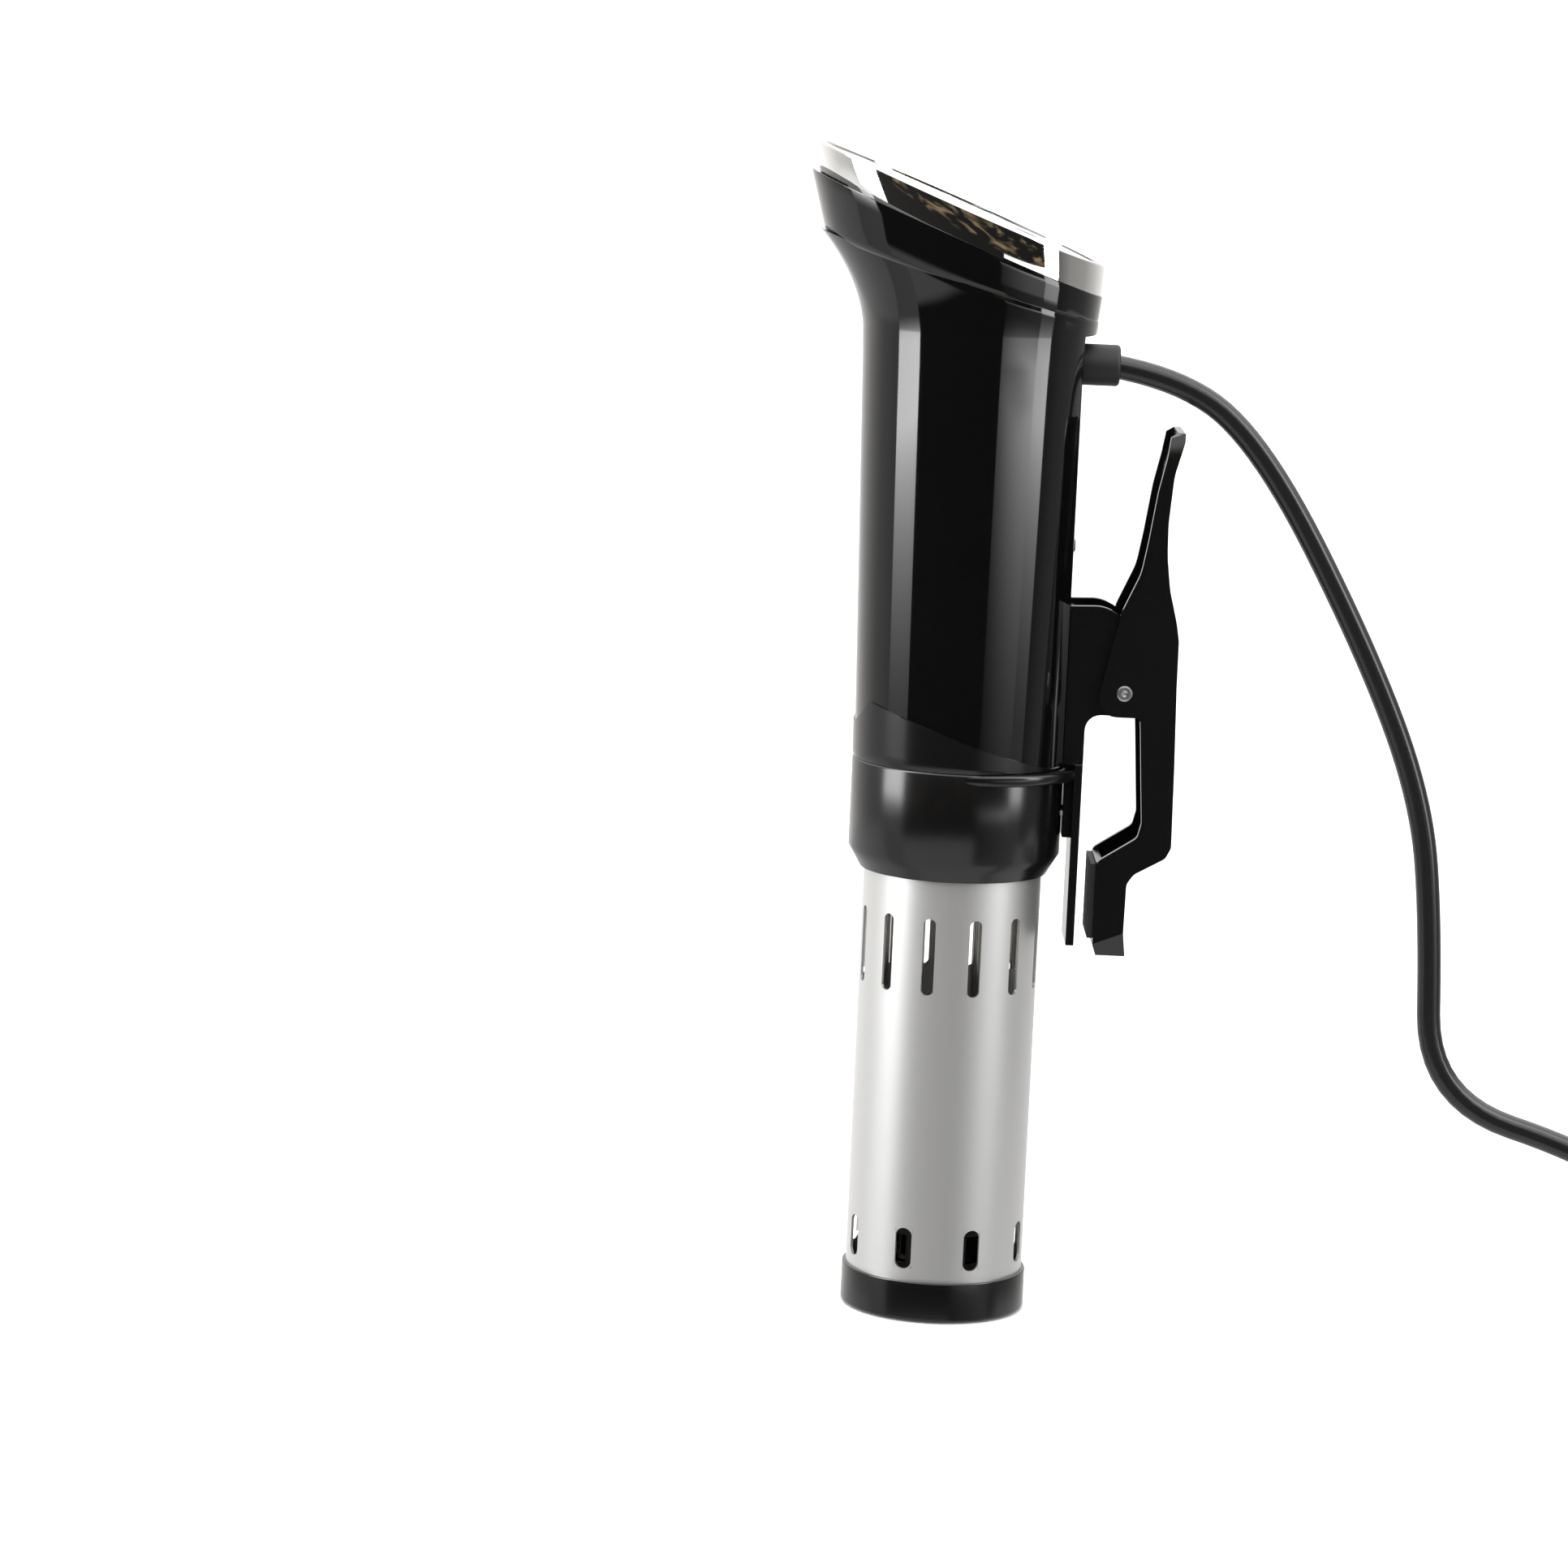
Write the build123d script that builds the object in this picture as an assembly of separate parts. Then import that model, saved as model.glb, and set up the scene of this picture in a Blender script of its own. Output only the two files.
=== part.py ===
from build123d import *
from math import atan2, cos, pi, radians, sin, sqrt, tan
import os

# Sous vide circulator, in millimetres. The origin is the middle of the foot's under face,
# +Z is up, and +X points from the tube towards the pot clamp.

# ------------------------------------------------------------------ driving dimensions
RIM_Z = 186.0            # height of the pot's rim on the clamped circulator
WALL = 2.4               # moulded plastic wall
FIT = 0.05               # radial gap of a pressed or glued fit

BODY_R = 35.0            # front shell radius at its lower end
BODY_R_TOP = 38.5        # front shell radius where the neck starts
BODY_LOW_Z = 190.0
NECK_Z = 328.0
BACK_X = 34.6            # flat back of the rear spine
SPINE_HALF = 17.9        # half width of the rear spine
SPINE_LOW_Z = 189.0
SPINE_TOP_Z = 333.0

TOP_FRONT = (-57.7, 394.2)   # x and z of the bezel's upper edge, front end
TOP_BACK = (40.5, 355.9)     # and back end
SEAM_FRONT = (-55.0, 382.6)  # bezel to head ring seam
SEAM_BACK = (40.0, 345.6)
RING_FRONT = (-51.4, 361.6)  # under edge of the head ring
RING_BACK = (38.9, 335.3)

COLLAR_R = 35.6          # collar below its ledge
COLLAR_LOW_Z = 158.0
LEDGE_Z = RIM_Z + 2.0
FLANGE_X = 41.3          # how far the collar's flange reaches back, beside the clamp bracket
FLANGE_T = 4.0
COLLAR_PROUD = 0.6       # collar stands this far out of the front shell
SLEEVE_STEP = 1.8        # the shell steps in by this inside the collar
SLEEVE_LOW_Z = 176.0
SLEEVE_TOP_Z = 214.0
SHOULDER = (-29.6, 208.4)    # slanted collar edge, front end
COLLAR_BACK = (28.5, 189.3)  # slanted collar edge, back end

SKIRT_R = 30.0
SKIRT_WALL = 0.8
SKIRT_TOP_Z = 172.0
O_RING_R = 31.0          # middle of the O-ring's section
O_RING_Z = 155.0
FOOT_R = 31.2
FOOT_H = 14.0
SHAFT_R = 2.0
BULKHEAD_Z = 160.0
BULKHEAD_H = 12.0

PIVOT = (53.8, 214.6)    # x and z of the clamp's pivot pin
PIN_R = 2.7
PIN_GAP = 0.05
BRACKET_HALF = 12.5      # half width over the bracket's walls
LEVER_HALF = 15.2        # half width over the lever's walls
CLAMP_WALL = 2.3
JAW_X = 41.4             # face that bears on the inside of the pot
JAW_LOW_Z = 128.0
LEVER_PAD_X = 45.6       # face that bears on the outside of the pot

CORD_D = 8.0
RELIEF_R = 6.9
RELIEF_Z = 322.6
COIL_X = 345.0           # centre of the coiled cord
COIL_TURNS_R = (48.5, 40.2)  # outer and inner turns of the coil's first layer
COIL_H = 15.6

os.makedirs("parts", exist_ok=True)


# ------------------------------------------------------------------ helpers
def save(name, shape):
    """Write one node."""
    export_step(shape, f"parts/{name}.step")


def ring(r_out, r_in, z_low, z_high):
    """Upright tube between two heights."""
    height = z_high - z_low
    middle = (z_low + z_high) / 2
    return Pos(0, 0, middle) * (Cylinder(r_out, height) - Cylinder(r_in, height + 1))


def rod(x, y, r, z_low, z_high):
    """Upright round rod between two heights."""
    return Pos(x, y, (z_low + z_high) / 2) * Cylinder(r, z_high - z_low)


def block(x, y, z):
    """Box from three (low, high) pairs."""
    size = [b - a for a, b in (x, y, z)]
    middle = [(a + b) / 2 for a, b in (x, y, z)]
    return Pos(*middle) * Box(*size)


def line_plane(front, back):
    """Plane across the object through two (x, z) points, facing up."""
    slope = atan2(front[1] - back[1], back[0] - front[0])
    return Plane(
        origin=(front[0], 0, front[1]),
        x_dir=(cos(slope), 0, -sin(slope)),
        z_dir=(sin(slope), 0, cos(slope)),
    )


def above(shape, front, back, lift=0.0):
    """The part of a shape above the plane through two points."""
    return split(shape, bisect_by=line_plane(front, back).offset(lift), keep=Keep.TOP)


def below(shape, front, back, lift=0.0):
    """The part of a shape under the plane through two points."""
    return split(shape, bisect_by=line_plane(front, back).offset(lift), keep=Keep.BOTTOM)


def oval(z, front, back, half):
    """Level oval face: half circles of radius half at x front and x back, joined by straight sides."""
    straight = back - front - 2 * half
    return Pos((front + back) / 2, 0, z) * SlotCenterToCenter(straight, 2 * half)


def oval_solid(heights, outline, inset=0.0):
    """Loft of level ovals; outline(z) gives front, back and half width."""
    faces = []
    for z in heights:
        front, back, half = outline(z)
        faces.append(oval(z, front + inset, back - inset, half - inset))
    return loft(faces)


def profile(points, half):
    """Prism across the object from an (x, z) outline, half wide each way."""
    outline = Polyline([(x, 0, z) for x, z in points], close=True)
    return extrude(make_face(outline), amount=half, dir=(0, 1, 0), both=True)


# ------------------------------------------------------------------ head
def bezel_outline(z):
    """Bezel: front leans in downwards by 0.233 per mm, back by 0.05 and sides by 0.06."""
    front = TOP_FRONT[0] + (TOP_FRONT[1] - z) * 0.233
    back = TOP_BACK[0] - (TOP_BACK[1] - z) * 0.05
    return front, back, 40.5 + (z - 364.0) * 0.06


def ring_outline(z):
    """Head ring: stands proud of the bezel and leans in downwards."""
    front = -57.9 + (383.5 - z) * 0.264
    back = 40.4 - (345.6 - z) * 0.11
    return front, back, 41.2 + (z - 364.0) * 0.08


HEAD_HEIGHTS = (328.0, 402.0)
PANEL_T = 1.6
PANEL_DROP = 0.8         # panel face below the bezel's edge
LIP = 3.0                # width of the bezel's upper lip


def make_head():
    bezel = oval_solid(HEAD_HEIGHTS, bezel_outline)
    bezel = above(below(bezel, TOP_FRONT, TOP_BACK), SEAM_FRONT, SEAM_BACK)
    hollow = oval_solid(HEAD_HEIGHTS, bezel_outline, inset=WALL - 0.4)
    hollow = below(hollow, TOP_FRONT, TOP_BACK, lift=-PANEL_DROP - PANEL_T)
    opening = oval_solid(HEAD_HEIGHTS, bezel_outline, inset=LIP)
    save("chrome_bezel", bezel - hollow - opening)

    panel = below(opening, TOP_FRONT, TOP_BACK, lift=-PANEL_DROP)
    panel = above(panel, TOP_FRONT, TOP_BACK, lift=-PANEL_DROP - PANEL_T)
    top = line_plane(TOP_FRONT, TOP_BACK)
    length = sqrt((TOP_BACK[0] - TOP_FRONT[0]) ** 2 + (TOP_FRONT[1] - TOP_BACK[1]) ** 2)
    window_at = top.location * Pos(length * 0.48, 0, -PANEL_DROP - PANEL_T / 2)
    window_hole = window_at * Box(34, 46, 4)
    save("control_panel", panel - window_hole)
    save("display_window", window_at * Box(33.9, 45.9, PANEL_T))

    board_at = top.location * Pos(length * 0.54, 0, -8.0)
    board = board_at * Box(64, 52, 1.6)
    module = board_at * Pos(-length * 0.06, 0, 2.9) * Box(32, 44, 5.2)
    save("display_board", board + module)

    outer = oval_solid(HEAD_HEIGHTS, ring_outline)
    inner = oval_solid(HEAD_HEIGHTS, ring_outline, inset=WALL + 0.8)
    shell = above(below(outer - inner, SEAM_FRONT, SEAM_BACK), RING_FRONT, RING_BACK)
    save("head_ring", shell)

    seal = oval_solid(HEAD_HEIGHTS, bezel_outline, inset=WALL - 0.3)
    seal = seal - oval_solid(HEAD_HEIGHTS, bezel_outline, inset=WALL + 1.2)
    seal = below(seal, SEAM_FRONT, SEAM_BACK, lift=4.0)
    save("bezel_seal", above(seal, SEAM_FRONT, SEAM_BACK, lift=0.02))


# ------------------------------------------------------------------ screws from the back
SCREW_R = 1.2
SCREW_HOLE_R = 1.25
SPINE_SCREW_Z = 262.0
BRACKET_SCREW_Z = 232.0
BRACKET_WEB_X = 37.0     # inner face of the bracket's web
JAW_SCREW_Z = 172.0
JAW_SCREWS_Y = (-5.0, 5.0)


def back_screw(x, y, z):
    """Pan head screw driven along -X, with its head on the face at x."""
    head = Pos(x + 0.6, y, z) * Rot(0, 90, 0) * Cylinder(2.6, 1.2)
    return head + Pos(x - 3.5, y, z) * Rot(0, 90, 0) * Cylinder(SCREW_R, 7.0)


# ------------------------------------------------------------------ body
def body_radius(z):
    """Radius of the tapered front shell at a height."""
    return BODY_R + (BODY_R_TOP - BODY_R) * (z - BODY_LOW_Z) / (NECK_Z - BODY_LOW_Z)


def cone(z_low, z_high, offset):
    """Solid cone that follows the front shell, moved out by offset."""
    solid = Cone(body_radius(z_low) + offset, body_radius(z_high) + offset, z_high - z_low)
    return Pos(0, 0, (z_low + z_high) / 2) * solid


FLARE = 0.0117           # how fast the neck's front leaves the tube, per mm of rise squared
BACK_FLARE = 0.0025


def neck_outline(z):
    """Neck: the front leaves the tube on a parabola, the back on a flatter one."""
    rise = max(0.0, z - NECK_Z)
    front = -BODY_R_TOP - FLARE * rise**2
    back = BODY_R_TOP + BACK_FLARE * rise**2
    return front, back, BODY_R_TOP + 0.02 * rise


NECK_HEIGHTS = (NECK_Z, 335.0, 341.0, 347.0, 353.0, 359.0, 364.0)


def make_body():
    collar_zone = below(block((-60, 60), (-60, 60), (100, 260)), SHOULDER, COLLAR_BACK)
    dip = Pos(-40, 0, 222.5) * Rot(0, 90, 0) * Cylinder(22.5, 70)
    collar_zone = collar_zone - dip + block((-60, 60), (-60, 60), (100, LEDGE_Z))

    upper = cone(BODY_LOW_Z - 12, NECK_Z, 0) - collar_zone
    sleeve = cone(SLEEVE_LOW_Z, SLEEVE_TOP_Z, -SLEEVE_STEP)
    neck = below(oval_solid(NECK_HEIGHTS, neck_outline), RING_FRONT, RING_BACK)
    bore = cone(170.0, SLEEVE_TOP_Z, -SLEEVE_STEP - WALL) + cone(SLEEVE_TOP_Z, NECK_Z, -WALL)
    neck_bore = oval_solid(NECK_HEIGHTS, neck_outline, inset=WALL)
    spine_bay = block((20, 60), (-SPINE_HALF - FIT, SPINE_HALF + FIT), (SPINE_LOW_Z, SPINE_TOP_Z))
    shell = upper + sleeve + neck - bore - neck_bore - spine_bay
    save("front_shell", shell)

    corner = 3.4
    side = SPINE_HALF - 5.1
    outline = [
        (26, -SPINE_HALF), (BACK_X - corner, -SPINE_HALF), (BACK_X, -side),
        (BACK_X, side), (BACK_X - corner, SPINE_HALF), (26, SPINE_HALF),
    ]
    face = make_face(Polyline(outline, close=True))
    height = SPINE_TOP_Z - SPINE_LOW_Z - 2 * FIT
    spine = extrude(Pos(0, 0, SPINE_LOW_Z + FIT) * face, amount=height)
    spine = spine - block((20, BACK_X - WALL), (-14.5, 14.5), (SPINE_LOW_Z - 1, SPINE_TOP_Z - WALL))
    spine = spine - Pos(30, 0, RELIEF_Z) * Rot(0, 90, 0) * Cylinder(4.6, 20)
    for z in (BRACKET_SCREW_Z, SPINE_SCREW_Z):
        spine = spine - Pos(33, 0, z) * Rot(0, 90, 0) * Cylinder(SCREW_HOLE_R, 10)
    save("rear_spine", spine)

    wrap = cone(BODY_LOW_Z - 14, 215.0, COLLAR_PROUD) & collar_zone
    ledge = ring(COLLAR_R, 20.0, COLLAR_LOW_Z, LEDGE_Z)
    foot = Pos(0, 0, COLLAR_LOW_Z - 3.5) * Cone(31.6, COLLAR_R, 7.0)
    flange = oval_solid((LEDGE_Z - FLANGE_T, LEDGE_Z), lambda z: (-COLLAR_R, FLANGE_X, COLLAR_R))
    room = BRACKET_HALF + FIT
    flange = flange - block((COLLAR_R + 0.1, 60), (-room, room), (150, 200))
    collar = wrap + ledge + foot + flange
    collar = collar - cone(SLEEVE_LOW_Z - FIT, SLEEVE_TOP_Z + 2, -SLEEVE_STEP + FIT)
    collar = collar - ring(O_RING_R + 1.0, SKIRT_R - 1, O_RING_Z - 1.0, O_RING_Z + 1.0)
    collar = collar - rod(0, 0, SKIRT_R + FIT, 140.0, SKIRT_TOP_Z + FIT)
    collar = collar - rod(0, 0, 27.0, 150.0, 190.0)
    web_bay = block((20, 60), (-SPINE_HALF - FIT, SPINE_HALF + FIT), (LEDGE_Z + 1.0, 230.0))
    collar = collar - web_bay
    for y in JAW_SCREWS_Y:
        collar = collar - Pos(32, y, JAW_SCREW_Z) * Rot(0, 90, 0) * Cylinder(SCREW_HOLE_R, 12)
    save("collar", collar)
    save("spine_screws", back_screw(BACK_X, 0, SPINE_SCREW_Z))


# ------------------------------------------------------------------ dry end
MOTOR_R = 17.0
MOTOR_Z = (206.0, 250.0)
PLATE_Z = (203.0, 206.0)
FAN_Z = (256.0, 266.0)


def make_dry_end():
    bore_r = body_radius(PLATE_Z[0]) - SLEEVE_STEP - WALL
    plate = ring(bore_r - 0.1, SHAFT_R + 3.0, *PLATE_Z)
    plate = plate - block((23.0, 40), (-24, 24), (200, 210))
    for side in (-1, 1):
        plate = plate - rod(0, side * 12.0, 1.6, 200, 210)
    save("motor_plate", plate)
    motor = rod(0, 0, MOTOR_R, *MOTOR_Z) - rod(0, 0, SHAFT_R + FIT, 200, 260)
    for side in (-1, 1):
        motor = motor - rod(0, side * 12.0, 1.25, 200, 212)
    save("motor", motor)
    screws = Part()
    for side in (-1, 1):
        screws += rod(0, side * 12.0, 2.5, PLATE_Z[0] - 1.6, PLATE_Z[0])
        screws += rod(0, side * 12.0, 1.2, PLATE_Z[0], 211.0)
    save("motor_screws", screws)

    shaft = rod(0, 0, SHAFT_R, 18.0, 268.0)
    save("drive_shaft", shaft)
    fan = ring(6.0, SHAFT_R, *FAN_Z)
    for turn in range(7):
        blade = block((5.5, 19.0), (-0.8, 0.8), (FAN_Z[0] + 0.5, FAN_Z[1] - 0.5))
        fan += Rot(0, 0, turn * 360 / 7) * blade
    save("cooling_fan", fan)

    board = block((25.0, 26.6), (-14.0, 14.0), (206.2, 312.0))
    save("power_board", board)
    sink = block((15.0, 25.0), (-13.0, 13.0), (274.0, 306.0))
    for fin in range(5):
        y = -10.0 + fin * 5.0
        sink = sink - block((12.0, 22.5), (y - 1.4, y + 1.4), (270, 310))
    save("heat_sink", sink)


# ------------------------------------------------------------------ wet end
def make_wet_end():
    inner = SKIRT_R - SKIRT_WALL
    disc = rod(0, 0, inner - FIT, BULKHEAD_Z, BULKHEAD_Z + BULKHEAD_H)
    disc = disc - rod(0, 0, 5.0, BULKHEAD_Z - 1, BULKHEAD_Z + BULKHEAD_H + 1)
    for x, y, r in HEATER_LEGS + PROBES:
        disc = disc - rod(x, y, r + FIT, BULKHEAD_Z - 1, BULKHEAD_Z + BULKHEAD_H + 1)
    save("bulkhead", disc)
    save("shaft_bush", ring(5.0, SHAFT_R + FIT, BULKHEAD_Z, BULKHEAD_Z + 8.0))
    save("shaft_seal", ring(5.0, SHAFT_R + FIT, BULKHEAD_Z + 8.0, BULKHEAD_Z + BULKHEAD_H))
    save("skirt_o_ring", Pos(0, 0, O_RING_Z) * Torus(O_RING_R, 0.9))

    skirt = ring(SKIRT_R, inner, 4.0, SKIRT_TOP_Z)
    slots = Part()
    for turn in range(12):
        slots += Rot(0, 0, 15 + turn * 30) * block((25, 35), (-2.2, 2.2), (112, 138))
    for turn in range(8):
        slots += Rot(0, 0, 22.5 + turn * 45) * block((25, 35), (-3.0, 3.0), (18, 32))
    save("skirt_tube", skirt - slots)

    cap = rod(0, 0, FOOT_R, 0, FOOT_H) - rod(0, 0, inner - 2.0, 3.0, FOOT_H + 1)
    cap = cap - ring(SKIRT_R + FIT, inner - FIT, 4.0, FOOT_H + 1)
    for turn in range(6):
        cap = cap - Rot(0, 0, turn * 60) * rod(9.5, 0, 2.6, -1, 5)
    save("foot_cap", cap)

    loops = Part()
    for side in (-1, 1):
        leg_x, leg_y, leg_r = HEATER_LEGS[0]
        y = side * leg_y
        bend = Pos(0, y, 62.0) * Rot(90, 0, 0) * Torus(leg_x, leg_r)
        loops += bend & block((-30, 30), (y - 5, y + 5), (30.0, 62.0))
        loops += rod(-leg_x, y, leg_r, 62.0, BULKHEAD_Z + BULKHEAD_H + 3)
        loops += rod(leg_x, y, leg_r, 62.0, BULKHEAD_Z + BULKHEAD_H + 3)
    save("heater_loops", loops)

    x, y, r = PROBES[0]
    probe = rod(x, y, r, 70.0, BULKHEAD_Z + BULKHEAD_H + 2)
    save("temperature_probe", probe + Pos(x, y, 70.0) * Sphere(r))
    rods = Part()
    for x, y, r in PROBES[1:]:
        rods += rod(x, y, r, 118.0, BULKHEAD_Z + BULKHEAD_H + 2)
    save("level_rods", rods)

    cup = ring(20.0, 18.0, 3.0, 30.0)
    for turn in range(4):
        cup = cup - Rot(0, 0, 45 + turn * 90) * block((15, 24), (-5.0, 5.0), (17.0, 27.0))
    save("pump_cup", cup)
    wheel = ring(4.5, SHAFT_R, 18.0, 28.0) + ring(15.0, SHAFT_R, 17.0, 18.4)
    for turn in range(5):
        wheel += Rot(0, 0, turn * 72) * block((4.0, 15.0), (-0.9, 0.9), (17.5, 27.0))
    save("impeller", wheel)


HEATER_LEGS = [(12.0, 19.0, 3.2), (-12.0, 19.0, 3.2), (12.0, -19.0, 3.2), (-12.0, -19.0, 3.2)]
PROBES = [(-22.0, 0.0, 2.0), (22.0, 5.0, 1.25), (22.0, -5.0, 1.25)]


# ------------------------------------------------------------------ clamp
def across(x, z, r, half):
    """Round bar along Y."""
    return Pos(x, 0, z) * Rot(90, 0, 0) * Cylinder(r, 2 * half)


LUG_R = 8.0
LEVER_OUTER = [
    (69.7, 302.0), (69.6, 299.3), (66.6, 288.3), (65.4, 271.9), (65.7, 261.0), (67.1, 250.1),
    (69.9, 239.2), (71.0, 233.0), (71.1, 217.3), (71.8, 189.7), (72.2, 163.1), (70.4, 159.4),
    (60.2, 153.6), (57.9, 150.2), (57.7, 133.4), (58.8, 125.0),
]
LEVER_INNER = [
    (48.9, 125.0), (47.5, 129.0), (47.5, 157.4), (60.6, 166.0), (61.8, 171.0), (59.6, 204.5),
    (57.0, 207.2), (53.8, 206.5), (46.3, 212.0), (45.8, 218.4), (51.2, 241.2), (57.3, 255.1),
    (59.2, 266.2), (61.5, 282.6), (63.9, 293.6), (64.9, 300.5),
]


def make_clamp():
    outline = [
        (BACK_X + 0.05, 189.5), (BACK_X + 0.05, 243.0), (45.7, 243.4), (51.3, 240.6),
        (60.5, 220.0), (PIVOT[0], PIVOT[1] - LUG_R), (46.5, 206.6), (42.9, 205.0),
        (JAW_X, 201.5), (JAW_X, 189.5),
    ]
    bracket = profile(outline, BRACKET_HALF) + across(*PIVOT, LUG_R, BRACKET_HALF)
    inner_half = BRACKET_HALF - CLAMP_WALL
    web_x = BRACKET_WEB_X
    cavity = profile([(web_x, 260), (web_x, 204.0), (44.0, 209.0), (70.0, 209.0), (70.0, 260)], inner_half)
    bracket = bracket - cavity
    bracket += block((JAW_X - 2.8, JAW_X), (-BRACKET_HALF, BRACKET_HALF), (JAW_LOW_Z, 190.0))
    bracket += block((COLLAR_R + 0.15, JAW_X), (-8.0, 8.0), (164.0, 190.0))
    bracket = bracket - across(*PIVOT, PIN_R + PIN_GAP, 30)
    pad_bay = block((JAW_X - 1.2, JAW_X + 1), (-10.0, 10.0), (131.0, 182.0))
    bracket = bracket - pad_bay
    for y in JAW_SCREWS_Y:
        bracket = bracket - Pos(38, y, JAW_SCREW_Z) * Rot(0, 90, 0) * Cylinder(SCREW_HOLE_R, 12)
    bracket = bracket - Pos(38, 0, BRACKET_SCREW_Z) * Rot(0, 90, 0) * Cylinder(SCREW_HOLE_R, 12)
    save("clamp_bracket", bracket)
    save("jaw_pad", block((JAW_X - 1.2, JAW_X), (-10.0, 10.0), (131.0, 182.0)))

    screws = back_screw(BRACKET_WEB_X, 0, BRACKET_SCREW_Z)
    for y in JAW_SCREWS_Y:
        screws += Pos(35.0, y, JAW_SCREW_Z) * Rot(0, 90, 0) * Cylinder(SCREW_R, 8.0)
    save("bracket_screws", screws)

    outline = LEVER_OUTER + LEVER_INNER
    lever = profile(outline, LEVER_HALF) + across(*PIVOT, LUG_R + 0.1, LEVER_HALF)
    inner_half = LEVER_HALF - CLAMP_WALL
    shifted = [(x - 2.4, z) for x, z in outline]
    hollow = profile(shifted, inner_half) + across(PIVOT[0] - 1.0, PIVOT[1], LUG_R + 1.0, inner_half)
    lever = lever - hollow
    lever += block((47.5, 49.7), (-inner_half, inner_half), (129.2, 157.2))
    lever = lever - across(*PIVOT, PIN_R + PIN_GAP, 30)
    save("clamp_lever", lever)
    pad = block((LEVER_PAD_X, 47.5), (-13.0, 13.0), (131.0, 156.4))
    save("lever_pad", pad)

    pin = across(*PIVOT, PIN_R, LEVER_HALF + 0.4)
    save("pivot_pin", pin)
    spring = across(*PIVOT, PIN_R + 2.6, 8.0) - across(*PIVOT, PIN_R + 0.6, 9.0)
    save("clamp_spring", spring)


# ------------------------------------------------------------------ cord
# Route of the free cord, from inside the strain relief to the coil on the floor.
CORD_ROUTE = [
    (38.0, 0.0, 323.2), (68.0, 0.0, 320.4), (98.0, 0.0, 296.0), (136.0, 0.0, 229.0),
    (157.0, 0.0, 180.0), (162.5, 0.0, 138.0), (165.0, 0.0, 78.0), (224.0, -2.0, 61.0),
    (264.0, -17.0, 37.0), (303.0, -43.0, 8.5), (336.0, -48.0, 5.2),
]


def corner_radii(points):
    """Each corner's arc: 0.45 of its shorter run over the tangent of half the turn."""
    radii = []
    for before, here, after in zip(points, points[1:], points[2:]):
        run_in = Vector(*here) - Vector(*before)
        run_out = Vector(*after) - Vector(*here)
        half_turn = radians(run_in.get_angle(run_out)) / 2
        radii.append(0.45 * min(run_in.length, run_out.length) / tan(half_turn))
    return radii


def make_cord():
    relief = Pos(41.6, 0, RELIEF_Z) * Rot(0, 90, 0) * Cylinder(RELIEF_R, 11.6)
    relief = fillet(relief.edges().group_by(Axis.X)[-1], 2.0)
    relief = relief - block((20, BACK_X + FIT), (-10, 10), (300, 345))
    relief += Pos(33.0, 0, RELIEF_Z) * Rot(0, 90, 0) * Cylinder(4.5, 6.0)

    radii = corner_radii(CORD_ROUTE)
    path = FilletPolyline(*CORD_ROUTE, radius=radii)
    start = Plane(origin=path @ 0, z_dir=path % 0)
    cord = sweep(start * Circle(CORD_D / 2), path=path)
    section = pi * (CORD_D / 2) ** 2
    print("cord radii", [round(r, 1) for r in radii])
    print("cord length", round(path.length, 1), "volume ratio", round(cord.volume / (section * path.length), 4))
    entry = start.location * Pos(0, 0, 10.0) * Cylinder(CORD_D / 2 + 0.1, 24.0)
    save("strain_relief", relief - entry)
    save("power_cord", cord)

    outer = COIL_TURNS_R[0] + CORD_D / 2 + 0.2
    inner = COIL_TURNS_R[1] - CORD_D / 2 - 0.2
    coil = ring(outer, inner, 0.0, COIL_H)
    coil = fillet(coil.edges(), 2.5)
    save("cord_coil", Pos(COIL_X, 0, 0) * coil)

    plug_y = (COIL_TURNS_R[0] + COIL_TURNS_R[1]) / 2
    back_x = COIL_X - 43.0
    body = block((back_x - 34.0, back_x), (plug_y - 12.0, plug_y + 12.0), (0.0, 23.0))
    body = fillet(body.edges(), 4.0)
    neck = Pos(back_x + 6.0, plug_y, 11.5) * Rot(0, 90, 0) * Cone(6.0, 4.6, 14.0)
    save("plug_body", body + neck)
    pins = Part()
    for side in (-1, 1):
        blade_y = plug_y + side * 6.35
        pins += block((back_x - 51.8, back_x - 33.0), (blade_y - 0.75, blade_y + 0.75), (10.0, 16.3))
    pins += Pos(back_x - 43.0, plug_y, 4.9) * Rot(0, 90, 0) * Cylinder(2.4, 21.0)
    save("plug_pins", pins)


make_head()
make_body()
make_dry_end()
make_wet_end()
make_clamp()
make_cord()
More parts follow.
